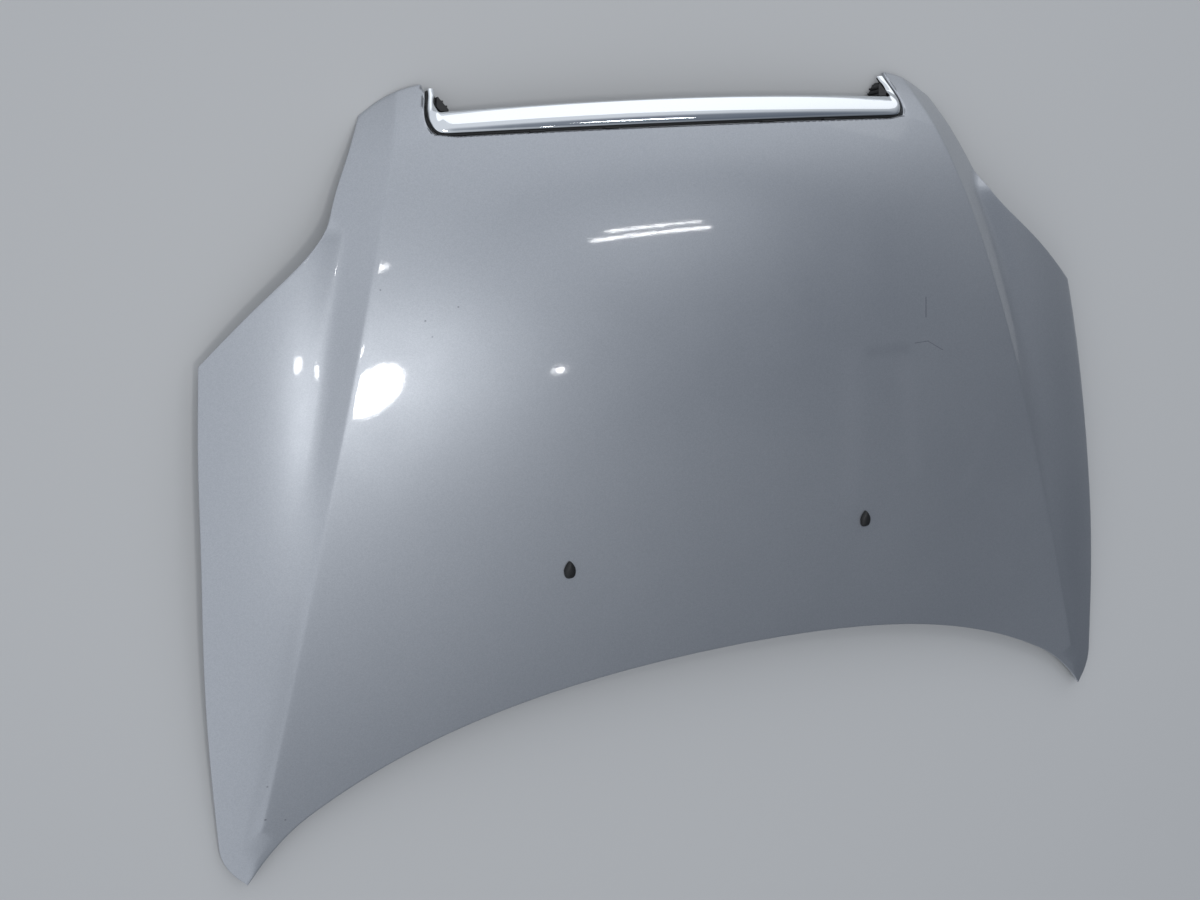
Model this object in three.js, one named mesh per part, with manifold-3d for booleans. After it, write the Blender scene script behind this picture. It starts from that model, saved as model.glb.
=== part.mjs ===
// Car bonnet: a hemmed steel skin over a pressed steel frame, with chrome grille trim and washer jets.
// Millimetres, X across the car, Y towards the nose, Z up. It lies crown up as it would on a floor.
import * as THREE from "three";
import { mergeVertices } from "three/addons/utils/BufferGeometryUtils.js";
import Module from "manifold-3d";

const wasm = await Module();
wasm.setup();

const mix = (a, b, t) => a + (b - a) * t;

// Sheet and fit sizes
const skinGauge = 0.8;
const frameGauge = 0.7;
const plateGauge = 2;
const fitGap = 0.35;
const hemGrip = 13;
const hemReach = 0.74;
const hemSlack = 1;
const frameReach = 0.092;
const cutFlangeDepth = 12;

// Leading sizes of the outline; other half widths keep the proportion they have at a widest of 730
const sideWidest = 730;
const rearMiddleY = 203.6;
const lampCornerY = 687;
const cutY = 951;
const ridgeRearY = cutY - 15;
const broad = sideWidest / 730;
const across = (halfWidth) => halfWidth * broad;

// Crown of the skin: centre line heights at stations, cross curvature, then the outer wings
const crownStations = [0, 200, 400, 600, cutY - 151, cutY - 51, cutY + 9];
const crownHeights = [-12.8, 44.3, 82.7, 104.5, 100, 81.3, 60.8];
const crossMiddle = 500;
const crossCurve = 10.14e-5;
const crossGain = 10.66e-5;
const crossFade = 2.57e-5;
const creaseMiddle = [across(521), (606 / 951) * cutY];
const creaseFront = across(419.855);
const creaseBend = across(5e-5);
const creaseRun = ridgeRearY - creaseMiddle[1];
const creaseTaper = (creaseMiddle[0] - creaseFront - creaseBend * creaseRun ** 2) / creaseRun;
const flankNoseSlope = 0.6;
const flankRearSlope = 0.32;
const flankChange = [450, 200];
const wingOrigin = [across(600), 500, 52.7];
const wingSlope = [-0.1485, -0.0041];
const wingCurve = [-14.83e-4, -3.5e-4, -1.98e-4];
const wingLampDrop = [lampCornerY + 155, 0.6];
const valleyRound = 4;
const valleyWidth = 28;

// Outline of the skin
const rearBow = [73.1, 48.2, -3.8];
const rearBowWidth = across(600);
const tipInset = 30;
const tipLength = 88;
const tipHalfWidth = sideWidest - tipInset;
const rearTipStart = tipHalfWidth - tipLength;
const sideWidestY = 58;
const sideStations = [0, 150, 248, 389, 525, 629].map((run) => mix(sideWidestY, lampCornerY, run / 629));
const sideHalfWidths = [730, 728, 723, 711, 699, 686].map(across);
const hornCornerY = cutY + 36;
const lampRuns = [0, 73, 135, 163, 193, 238, 300];
const lampStations = lampRuns.map((run) => mix(lampCornerY, hornCornerY, run / 300));
const lampHalfWidths = [686, 603, 531, 510, 497, 476, 446.5].map(across);
const hornTip = [across(360.5), cutY + 72.4];
const hornFrontFall = [0.1, 0.0038];

// Grille cut-out and the horns beside it
const cutCorner = [across(361), cutY + 3.5];
const cutCornerStart = across(330);
const legStations = [3.5, 12, 23, 41, 61, 72.4].map((ahead) => cutY + ahead);
const legHalfWidths = [361, 366.5, 368.5, 365.5, 359.5, 358].map(across);
const ridgeCreaseX = across(420);
const hornFall = [0.46, 0.0025];

// Washer jets
const jetX = across(238.3);
const jetY = rearMiddleY + 162.4;
const jetHoleRadius = 5.5;
const jetHead = [17, 25, 6.5];
const jetStemRadius = 4.6;
const jetStemLength = 15;
const jetClipRadius = 8;
const jetClipHeight = 5;
const jetBarbRadius = 2.6;
const jetBarbLength = 14;

// Pressed frame: depths under the skin, window borders and flat pads
const perimeterInset = 31;
const frameDepth = 23;
const floorLimit = -12;
const landDrop = 4.6;
const landWidth = 12;
const rampWidth = 13;
const windowRadius = across(22);
const windowRear = rearMiddleY + 68.4;
const windowFront = cutY - 136;
const windowCorners = (corners) => corners.map(([x, y]) => [across(x), y]);
const windowShapes = {
  middleFront: windowCorners([[-146, 602], [146, 602], [72, windowFront], [-72, windowFront]]),
  middleRear: windowCorners([[-138, windowRear], [138, windowRear], [122, 532], [-122, 532]]),
};
const sideWindowShapes = {
  sideFront: windowCorners([[222, 602], [424, 612], [362, windowFront], [146, windowFront]]),
  sideRear: windowCorners([
    [214, windowRear - 4], [420, windowRear - 34], [520, windowRear + 100], [452, 542], [200, 532],
  ]),
  wing: windowCorners([
    [596, lampCornerY - 251], [644, lampCornerY - 251], [622, lampCornerY - 35], [558, lampCornerY - 35],
  ]),
};
const hingePad = { at: [across(620), rearMiddleY - 7.6], size: [44, 112], turn: 0.12, drop: 26 };
const latchPad = { at: [0, cutY - 69], size: [116, 40], turn: 0, drop: 27 };
const bufferPad = { at: [across(300), cutY - 73], size: [38, 38], turn: 0, drop: 26 };
const tabPads = [120, 225].map((x) => {
  return { at: [across(x), cutY - 59], size: [26, 30], turn: 0, drop: 27 };
});
const propPad = { at: [across(560), rearMiddleY + 96.4], size: [30, 30], turn: 0, drop: 25.5 };
const padRound = 9;
const padRamp = 8;
const hingeBoltSpacing = 66;
const hingeBoltRadius = 4.5;
const latchBoltSpacing = 84;
const latchBoltRadius = 3.5;

// Plates, nuts, striker and stops
const hingePlateSize = [36, 98];
const hingeNut = [13, 6.5];
const latchPlateSize = [104, 32];
const strikerSize = [106, 30];
const strikerGauge = 2.5;
const loopSpan = 36;
const loopWire = 4;
const loopDrop = 38;
const stopRadius = 14;
const stopHeight = 18;
const stopStemRadius = 3.6;
const beadSize = [36, 8, 2.2];
const beadLift = 0.7;
const beadEdge = 150;

// Chrome grille trim
const trimGap = 4.7;
const trimGauge = 2.6;
const trimReach = 39;
const trimTopY = cutY + trimReach;
const trimTopBow = 6.4;
const trimTopZ = 48;
const trimTopFall = 22.3;
const trimHalf = across(348);
const trimBulge = 3.2;
const trimLegShort = 7.4;
const trimLegTopY = hornTip[1] - trimLegShort;
const carrierGauge = 2;
const carrierShow = 2.2;
const carrierClear = 0.7;
const tabWidth = 20;
const tabGauge = 2;
const tabEnd = 9;
const tabHoleRadius = 2.8;
const endFoot = -10;
const propHoleRadius = 7;

// Smooth curves through stations, and soft limits
function curveThrough(stations, values) {
  const n = stations.length;
  const second = new Array(n).fill(0);
  const work = new Array(n).fill(0);
  for (let i = 1; i < n - 1; i++) {
    const before = stations[i] - stations[i - 1];
    const after = stations[i + 1] - stations[i];
    const share = before / (before + after);
    const p = share * second[i - 1] + 2;
    second[i] = (share - 1) / p;
    const rise = (values[i + 1] - values[i]) / after - (values[i] - values[i - 1]) / before;
    work[i] = ((6 * rise) / (before + after) - share * work[i - 1]) / p;
  }
  for (let i = n - 2; i > 0; i--) second[i] = second[i] * second[i + 1] + work[i];
  return (t) => {
    let k = 0;
    while (k < n - 2 && t > stations[k + 1]) k++;
    const span = stations[k + 1] - stations[k];
    const b = (t - stations[k]) / span;
    const a = 1 - b;
    const bend = (a ** 3 - a) * second[k] + (b ** 3 - b) * second[k + 1];
    return a * values[k] + b * values[k + 1] + (bend * span * span) / 6;
  };
}
const softMax = (a, b, r) => 0.5 * (a + b + Math.hypot(a - b, r));
const softMin = (a, b, r) => 0.5 * (a + b - Math.hypot(a - b, r));
const clamp01 = (t) => Math.min(1, Math.max(0, t));
const ease = (t) => clamp01(t) ** 2 * (3 - 2 * clamp01(t));

// The skin as a height over the plan
const crownAt = curveThrough(crownStations, crownHeights);
const sideAt = curveThrough(sideStations, sideHalfWidths);
const lampAt = curveThrough(lampStations, lampHalfWidths);
const legAt = curveThrough(legStations, legHalfWidths);

function creaseAt(y) {
  const ahead = y - creaseMiddle[1];
  return creaseMiddle[0] - creaseTaper * ahead - creaseBend * Math.max(0, ahead) ** 2;
}
function ridgeAt(x) {
  const slope = (cutCorner[1] - ridgeRearY) / (ridgeCreaseX - cutCorner[0]);
  return ridgeRearY + (ridgeCreaseX - x) * slope;
}
function mainAt(x, y) {
  const v = (y - crossMiddle) / crossMiddle;
  return crownAt(y) - (crossCurve + crossGain * v - crossFade * v * v) * (x / broad) ** 2;
}
function raisedAt(x, y) {
  const ridge = ridgeAt(x);
  if (x < cutCorner[0] - 12 || y <= ridge) return mainAt(x, y);
  const v = y - ridge;
  return mainAt(x, ridge) - hornFall[0] * v - hornFall[1] * v * v;
}
function wingAt(x, y) {
  const dx = (x - wingOrigin[0]) / broad;
  const dy = y - wingOrigin[1];
  const bend = wingCurve[0] * dx * dx + wingCurve[1] * dx * dy + wingCurve[2] * dy * dy;
  const drop = wingLampDrop[1] * softMax(0, y - wingLampDrop[0], 8);
  return wingOrigin[2] + wingSlope[0] * dx + wingSlope[1] * dy + bend - drop;
}
function skinAt(signedX, y) {
  const x = Math.abs(signedX);
  const crease = creaseAt(y);
  const out = x - crease;
  if (out <= 0) return raisedAt(x, y);
  const slope = mix(flankRearSlope, flankNoseSlope, ease((y - flankChange[0]) / flankChange[1]));
  const flank = raisedAt(crease, y) - (slope * out) / broad;
  const round = valleyRound * Math.min(1, out / 20);
  return softMin(mainAt(x, Math.min(y, ridgeRearY)), softMax(flank, wingAt(x, y), round), round / 2);
}
function upNormal(x, y) {
  const step = 0.5;
  const dx = (skinAt(x + step, y) - skinAt(x - step, y)) / (2 * step);
  const dy = (skinAt(x, y + step) - skinAt(x, y - step)) / (2 * step);
  return new THREE.Vector3(-dx, -dy, 1).normalize();
}

// Outline curves of the right half
function rearEdgeAt(x) {
  const a = (x / rearBowWidth) ** 2;
  const bow = rearBow[0] * a + rearBow[1] * a * a + rearBow[2] * a ** 3;
  const full = (tipHalfWidth / rearBowWidth) ** 2;
  const tipY = rearMiddleY - rearBow[0] * full - rearBow[1] * full * full - rearBow[2] * full ** 3;
  const t = Math.max(0, (x - rearTipStart) / (tipHalfWidth - rearTipStart));
  return rearMiddleY - bow - tipY * t * t;
}
function outerEdgeAt(y) {
  if (y < sideWidestY) {
    return sideWidest - (sideWidest - tipHalfWidth) * (1 - y / sideWidestY) ** 2.2;
  }
  return y < lampCornerY ? sideAt(y) : lampAt(y);
}
function hornFrontAt(x) {
  const out = (x - hornTip[0]) / broad;
  return hornTip[1] - hornFrontFall[0] * out - hornFrontFall[1] * out * out;
}

// Plan grid of the skin: columns follow the crease and the edges, rows follow the rear edge and the ridge
const innerColumns = [0, 0.2, 0.4, 0.58, 0.76, 0.9, 0.967];
const legColumn = innerColumns.length;
const creaseColumn = legColumn + 2;
const edgeColumn = creaseColumn + 4;
const rowsToLamp = [0, 0.05, 0.12, 0.19, 0.27, 0.35, 0.43, 0.51, 0.59, 0.67];
const lampShare = 0.7450050102;
const rowsAhead = [0.81, 0.87, 0.905, 0.94, 0.97, 1];
const rowShares = [...rowsToLamp, lampShare, ...rowsAhead];
const lampRow = rowsToLamp.length;
const frontRow = rowShares.length;
const cutRow = frontRow + 1;
const hornRows = [0.33, 0.67, 1];
const topRow = cutRow + hornRows.length + 1;
const rearEdgeShares = [0.32, 0.55, 0.72, 0.86, 1];
const rearHemShares = [0.4, 0.66, 0.85, 1];
const rearHemCorner = tipHalfWidth + 1.6;
const sideHemY = 15;
const legNarrowing = 176;

const slopeOf = (curve, t) => curve(t + 0.5) - curve(t - 0.5);
function hemmedEdgeAt(y) {
  if (y < sideWidestY) return outerEdgeAt(y) - hemGrip * Math.hypot(1, slopeOf(outerEdgeAt, y));
  const side = sideAt(y) - hemGrip * Math.hypot(1, slopeOf(sideAt, y));
  const lamp = lampAt(y) - hemGrip * Math.hypot(1, slopeOf(lampAt, y));
  return y < lampCornerY - 40 ? side : y > lampCornerY ? lamp : Math.min(side, lamp);
}
function legLineAt(y) {
  if (y >= cutCorner[1]) return legAt(y);
  return (cutCorner[0] * creaseAt(y)) / creaseAt(cutCorner[1]);
}
function columnX(c, y) {
  const leg = legLineAt(y);
  if (c < legColumn) return innerColumns[c] * leg;
  if (c === legColumn) return leg;
  const crease = creaseAt(y);
  if (c === legColumn + 1) {
    const narrowed = ease((y - ridgeRearY + legNarrowing) / legNarrowing);
    return leg + mix((crease - leg) * 0.5, hemGrip, narrowed);
  }
  if (c === creaseColumn) return crease;
  const hem = hemmedEdgeAt(y);
  const valley = crease + Math.min(valleyWidth, 0.42 * (hem - crease));
  if (c === creaseColumn + 1) return valley;
  if (c === creaseColumn + 2) return mix(valley, hem, 0.5);
  return c < edgeColumn ? hem : outerEdgeAt(y);
}
function cutRowY(x) {
  if (x <= cutCorner[0]) {
    return mix(cutY, cutCorner[1], ease((x - cutCornerStart) / (cutCorner[0] - cutCornerStart)));
  }
  return x < ridgeCreaseX ? ridgeAt(x) : ridgeRearY - 0.1 * (x - ridgeCreaseX);
}
function settle(c, rowY, guess) {
  let y = guess;
  for (let i = 0; i < 60; i++) y = mix(y, rowY(columnX(c, y)), 0.7);
  return { x: columnX(c, y), y };
}
const rearHemY = (x) => {
  const at = Math.min(x, tipHalfWidth - 8);
  const edgeY = Math.max(0, rearEdgeAt(Math.min(x, tipHalfWidth)));
  return edgeY + hemGrip * Math.hypot(1, slopeOf(rearEdgeAt, at));
};
const hornHemY = (x) => hornFrontAt(x) - hemGrip * Math.hypot(1, slopeOf(hornFrontAt, x));

// One row runs out to the lamp corner, and the others spread before and after it
function rowShareAt(k) {
  const edgeHigh = gridNode(frontRow, edgeColumn).y;
  const corner = (lampCornerY - sideHemY) / (edgeHigh - sideHemY);
  if (k <= lampRow) return (rowShares[k] * corner) / lampShare;
  return 1 - ((1 - rowShares[k]) * (1 - corner)) / (1 - lampShare);
}
function gridNode(r, c) {
  const last = creaseColumn - 1;
  if (r === 0) {
    if (c < creaseColumn) return settle(c, rearEdgeAt, 120);
    const x = mix(gridNode(0, last).x, tipHalfWidth, rearEdgeShares[c - creaseColumn]);
    return { x, y: rearEdgeAt(x) };
  }
  if (r === 1) {
    if (c < creaseColumn) return settle(c, rearHemY, 140);
    if (c === edgeColumn) return { x: outerEdgeAt(sideHemY), y: sideHemY };
    const x = mix(gridNode(1, last).x, rearHemCorner, rearHemShares[c - creaseColumn]);
    return { x, y: rearHemY(x) };
  }
  if (r === topRow) {
    if (c === legColumn) return { x: hornTip[0], y: hornTip[1] };
    if (c === edgeColumn) return { x: outerEdgeAt(hornCornerY), y: hornCornerY };
    return settle(c, hornFrontAt, hornCornerY + 13);
  }
  if (r === cutRow) {
    if (c === legColumn) return { x: cutCorner[0], y: cutCorner[1] };
    return settle(c, cutRowY, ridgeRearY + 4);
  }
  if (r === frontRow) return settle(c, (x) => cutRowY(x) - hemGrip, ridgeRearY - 6);
  const low = r < frontRow ? gridNode(1, c) : gridNode(cutRow, c);
  if (r < frontRow) {
    const high = gridNode(frontRow, c);
    const y = mix(low.y, high.y, rowShareAt(r - 1));
    return { x: columnX(c, y), y };
  }
  const high = settle(c, hornHemY, hornCornerY - 2);
  const y = mix(low.y, high.y, hornRows[r - cutRow - 1]);
  return { x: columnX(c, y), y };
}
const grid = new Map();
const gridKey = (r, c) => `${r}/${c}`;
const inGrid = (r, c) => {
  const out = Math.abs(c);
  return r >= 0 && r <= topRow && out <= edgeColumn && (r <= cutRow || out >= legColumn);
};
for (let r = 0; r <= topRow; r++) {
  for (let c = 0; c <= edgeColumn; c++) {
    if (!inGrid(r, c)) continue;
    const { x, y } = gridNode(r, c);
    grid.set(gridKey(r, c), new THREE.Vector3(x, y, skinAt(x, y)));
    if (c > 0) grid.set(gridKey(r, -c), new THREE.Vector3(-x, y, skinAt(x, y)));
  }
}
const isRim = (r, c) =>
  r === 0 || r === topRow || Math.abs(c) === edgeColumn ||
  (r === cutRow && Math.abs(c) <= legColumn) || (r > cutRow && Math.abs(c) === legColumn);

// Walk round the rim, each rim point paired with the grid point a hem width inside it
function rimPairs() {
  const half = [];
  for (let c = 0; c < edgeColumn; c++) half.push([0, c, 1, c]);
  half.push([0, edgeColumn, 1, edgeColumn - 1]);
  for (let r = 1; r < topRow; r++) half.push([r, edgeColumn, r, edgeColumn - 1]);
  half.push([topRow, edgeColumn, topRow - 1, edgeColumn - 1]);
  for (let c = edgeColumn - 1; c > legColumn; c--) half.push([topRow, c, topRow - 1, c]);
  half.push([topRow, legColumn, topRow - 1, legColumn + 1]);
  for (let r = topRow - 1; r > cutRow; r--) half.push([r, legColumn, r, legColumn + 1]);
  half.push([cutRow, legColumn, cutRow, legColumn + 1]);
  half.push([cutRow, legColumn, frontRow, legColumn + 1]);
  half.push([cutRow, legColumn, frontRow, legColumn]);
  for (let c = legColumn - 1; c >= 0; c--) half.push([cutRow, c, frontRow, c]);
  const mirrored = half.slice(1, -1).reverse().map(([r, c, hr, hc]) => [r, -c, hr, -hc]);
  return [...half, ...mirrored];
}
const pairs = rimPairs().map(([r, c, hr, hc]) => {
  const edge = grid.get(gridKey(r, c));
  const inside = grid.get(gridKey(hr, hc));
  const turned = (r === cutRow && Math.abs(c) <= legColumn) || (r > cutRow && Math.abs(c) === legColumn);
  return { key: gridKey(r, c), insideKey: gridKey(hr, hc), edge, inside, turned };
});
function rimPoint(pair, share, depth) {
  const middle = pair.edge.clone().lerp(pair.inside, 0.5);
  const normal = upNormal(middle.x, middle.y);
  return pair.edge.clone().lerp(pair.inside, share).addScaledVector(normal, -depth);
}
const cornerKeys = new Set([gridKey(cutRow, legColumn), gridKey(cutRow, -legColumn)]);
const rim = pairs.filter((pair, i) => {
  if (!cornerKeys.has(pair.key)) return i === 0 || pairs[i - 1].key !== pair.key;
  return pair.insideKey === gridKey(frontRow, Math.sign(pair.edge.x) * (legColumn + 1));
});

const hemNormals = new Map();
pairs.forEach(({ insideKey, edge, inside }) => {
  const middle = edge.clone().lerp(inside, 0.5);
  if (!hemNormals.has(insideKey)) hemNormals.set(insideKey, upNormal(middle.x, middle.y));
});
function underGrid(key, depth) {
  const p = grid.get(key);
  return p.clone().addScaledVector(hemNormals.get(key) ?? upNormal(p.x, p.y), -depth);
}

// A sheet or body collected point by point
class Body {
  constructor() {
    this.points = [];
    this.faces = [];
    this.keys = new Map();
  }
  add(point, key) {
    if (key !== undefined && this.keys.has(key)) return this.keys.get(key);
    this.points.push(point);
    if (key !== undefined) this.keys.set(key, this.points.length - 1);
    return this.points.length - 1;
  }
  face(a, b, c) {
    if (a !== b && b !== c && a !== c) this.faces.push([a, b, c]);
  }
  quad(a, b, c, d) {
    this.face(a, b, c);
    this.face(a, c, d);
  }
  band(lower, upper) {
    const n = lower.length;
    for (let i = 0; i < n; i++) {
      const j = (i + 1) % n;
      this.quad(lower[i], lower[j], upper[j], upper[i]);
    }
  }
  strip(outer, inner) {
    const n = outer.length;
    for (let i = 0; i < n; i++) {
      const j = (i + 1) % n;
      this.face(outer[i], outer[j], inner[i]);
      this.face(outer[j], inner[j], inner[i]);
    }
  }
  zip(outer, inner) {
    const gap = (a, b) => this.points[a].distanceTo(this.points[b]);
    const nearer = (best, id, k) => (gap(id, outer[0]) < gap(inner[best], outer[0]) ? k : best);
    const start = inner.reduce(nearer, 0);
    const outside = [...outer, outer[0]];
    const inside = [...inner.slice(start), ...inner.slice(0, start + 1)];
    let i = 0;
    let j = 0;
    while (i < outer.length || j < inner.length) {
      const stepOut = i < outer.length ? gap(outside[i + 1], inside[j]) : Infinity;
      const stepIn = j < inner.length ? gap(outside[i], inside[j + 1]) : Infinity;
      if (stepOut <= stepIn) {
        this.face(outside[i], outside[i + 1], inside[j]);
        i++;
      } else {
        this.face(outside[i], inside[j + 1], inside[j]);
        j++;
      }
    }
  }
  geometry() {
    const geometry = new THREE.BufferGeometry();
    const flat = this.points.flatMap((p) => [p.x, p.y, p.z]);
    geometry.setAttribute("position", new THREE.Float32BufferAttribute(flat, 3));
    geometry.setIndex(this.faces.flat());
    return geometry;
  }
}

// Fill between plan loops; the slight bow of the plan keeps points on straight runs
function fillPlan(body, outer, holes) {
  const bowed = (i) => {
    const p = body.points[i];
    return new THREE.Vector2(p.x + 1.3e-5 * p.y * p.y, p.y + 1.7e-5 * p.x * p.x);
  };
  const all = [...outer, ...holes.flat()];
  const outline = outer.map(bowed);
  const faces = THREE.ShapeUtils.triangulateShape(outline, holes.map((hole) => hole.map(bowed)));
  const upright = faces.map(([i, j, k]) => {
    const [a, b, c] = [bowed(all[i]), bowed(all[j]), bowed(all[k])];
    return b.sub(a).cross(c.sub(a)) > 0 ? [all[i], all[j], all[k]] : [all[i], all[k], all[j]];
  });
  evened(upright, bowed).forEach((face) => body.face(...face));
}

// Turn shared edges until no face has its neighbour's far corner inside its circle
function evened(faces, at) {
  const angleAt = (tip, a, b) => {
    const [u, v] = [at(a).sub(at(tip)), at(b).sub(at(tip))];
    return Math.abs(Math.atan2(u.cross(v), u.dot(v)));
  };
  let turned = true;
  for (let pass = 0; turned && pass < 80; pass++) {
    turned = false;
    const owner = new Map();
    faces.forEach((face, f) => face.forEach((a, k) => owner.set(`${a}/${face[(k + 1) % 3]}`, f)));
    const touched = new Set();
    for (const [key, f] of owner) {
      const [a, b] = key.split("/").map(Number);
      const g = owner.get(`${b}/${a}`);
      if (g === undefined || touched.has(f) || touched.has(g)) continue;
      const c = faces[f].find((v) => v !== a && v !== b);
      const d = faces[g].find((v) => v !== a && v !== b);
      if (angleAt(c, a, b) + angleAt(d, a, b) < Math.PI + 1e-5) continue;
      faces[f] = [a, d, c];
      faces[g] = [d, b, c];
      touched.add(f).add(g);
      turned = true;
    }
  }
  return faces;
}

// Booleans
function solidOf(geometry) {
  const bare = geometry.clone();
  bare.deleteAttribute("normal");
  bare.deleteAttribute("uv");
  const merged = mergeVertices(bare, 1e-5);
  return new wasm.Manifold(new wasm.Mesh({
    numProp: 3,
    vertProperties: new Float32Array(merged.attributes.position.array),
    triVerts: new Uint32Array(merged.index.array),
  }));
}
function geometryOf(solid) {
  const mesh = solid.getMesh();
  const geometry = new THREE.BufferGeometry();
  geometry.setAttribute("position", new THREE.BufferAttribute(new Float32Array(mesh.vertProperties), 3));
  geometry.setIndex(new THREE.BufferAttribute(new Uint32Array(mesh.triVerts), 1));
  return geometry;
}
const joined = (shapes) => geometryOf(shapes.map(solidOf).reduce((a, b) => a.add(b)));
const carved = (shape, tools) => {
  const left = tools.map(solidOf).reduce((a, b) => a.subtract(b), solidOf(shape));
  return geometryOf(left);
};

// Placing small pieces square to the sheet
function seatAt(x, y, depth) {
  const normal = upNormal(x, y);
  const along = new THREE.Vector3(0, 1, 0);
  along.addScaledVector(normal, -along.dot(normal)).normalize();
  const across = new THREE.Vector3().crossVectors(along, normal);
  const place = new THREE.Matrix4().makeBasis(across, along, normal);
  const origin = new THREE.Vector3(x, y, skinAt(x, y)).addScaledVector(normal, -depth);
  return place.setPosition(origin);
}
function cylinder(radius, low, high, sides = 20, topRadius = radius) {
  const shape = new THREE.CylinderGeometry(topRadius, radius, high - low, sides);
  return shape.rotateX(Math.PI / 2).translate(0, 0, (low + high) / 2);
}
function roundedOutline(corners, radius, offset, arcSteps, reach) {
  const points = [];
  const n = corners.length;
  const inwards = corners.map(([x, y], i) => {
    const [px, py] = corners[(i + n - 1) % n];
    const [nx, ny] = corners[(i + 1) % n];
    const before = Math.atan2(y - py, x - px) - Math.PI / 2;
    let turn = Math.atan2(ny - y, nx - x) - Math.PI / 2 - before;
    turn = Math.atan2(Math.sin(turn), Math.cos(turn));
    const mid = before + turn / 2;
    const far = radius / Math.cos(turn / 2);
    return { x: x - far * Math.cos(mid), y: y - far * Math.sin(mid), before, turn };
  });
  inwards.forEach((centre, i) => {
    for (let k = 0; k <= arcSteps; k++) {
      const angle = centre.before + (centre.turn * k) / arcSteps;
      const r = radius + offset;
      points.push([centre.x + r * Math.cos(angle), centre.y + r * Math.sin(angle)]);
    }
    const next = inwards[(i + 1) % n];
    const length = Math.hypot(next.x - centre.x, next.y - centre.y);
    const extra = Math.round(length / reach) - 1;
    const r = radius + offset;
    for (let k = 1; k <= extra; k++) {
      const t = k / (extra + 1);
      const x = mix(centre.x, next.x, t) + r * Math.cos(next.before);
      const y = mix(centre.y, next.y, t) + r * Math.sin(next.before);
      points.push([x, y]);
    }
  });
  return points;
}
function plateFrom(corners, radius, low, high, arcSteps = 4) {
  const level = (height, x, y) => (typeof height === "function" ? height(x, y) : height);
  const body = new Body();
  const outline = roundedOutline(corners, radius, 0, arcSteps, Infinity);
  const lower = outline.map(([x, y]) => body.add(new THREE.Vector3(x, y, level(low, x, y))));
  const upper = outline.map(([x, y]) => body.add(new THREE.Vector3(x, y, level(high, x, y))));
  body.band(lower, upper);
  fillPlan(body, upper, []);
  const under = new Body();
  under.points = body.points;
  fillPlan(under, lower, []);
  under.faces.forEach(([a, b, c]) => body.face(a, c, b));
  return body.geometry();
}
const rectangle = (width, length) => [
  [-width / 2, -length / 2], [width / 2, -length / 2], [width / 2, length / 2], [-width / 2, length / 2],
];

const paint = new THREE.MeshStandardMaterial({ color: 0xa9adb3, roughness: 0.32, metalness: 0.6 });
const framePaint = new THREE.MeshStandardMaterial({ color: 0x9a9ea4, roughness: 0.5, metalness: 0.5 });
const chrome = new THREE.MeshStandardMaterial({ color: 0xe6e9ec, roughness: 0.06, metalness: 1 });
const blackPlastic = new THREE.MeshStandardMaterial({ color: 0x17181a, roughness: 0.55, metalness: 0 });
const rubber = new THREE.MeshStandardMaterial({ color: 0x1b1b1c, roughness: 0.85, metalness: 0 });
const zinc = new THREE.MeshStandardMaterial({ color: 0xb7b3a2, roughness: 0.4, metalness: 0.9 });
const steel = new THREE.MeshStandardMaterial({ color: 0x8d9196, roughness: 0.45, metalness: 0.9 });
const mastic = new THREE.MeshStandardMaterial({ color: 0x2a2a2c, roughness: 0.95, metalness: 0 });
const pieces = [];
function piece(name, geometry, material) {
  const mesh = new THREE.Mesh(geometry, material);
  mesh.name = name;
  pieces.push(mesh);
}
const sides = [["left", -1], ["right", 1]];

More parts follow.
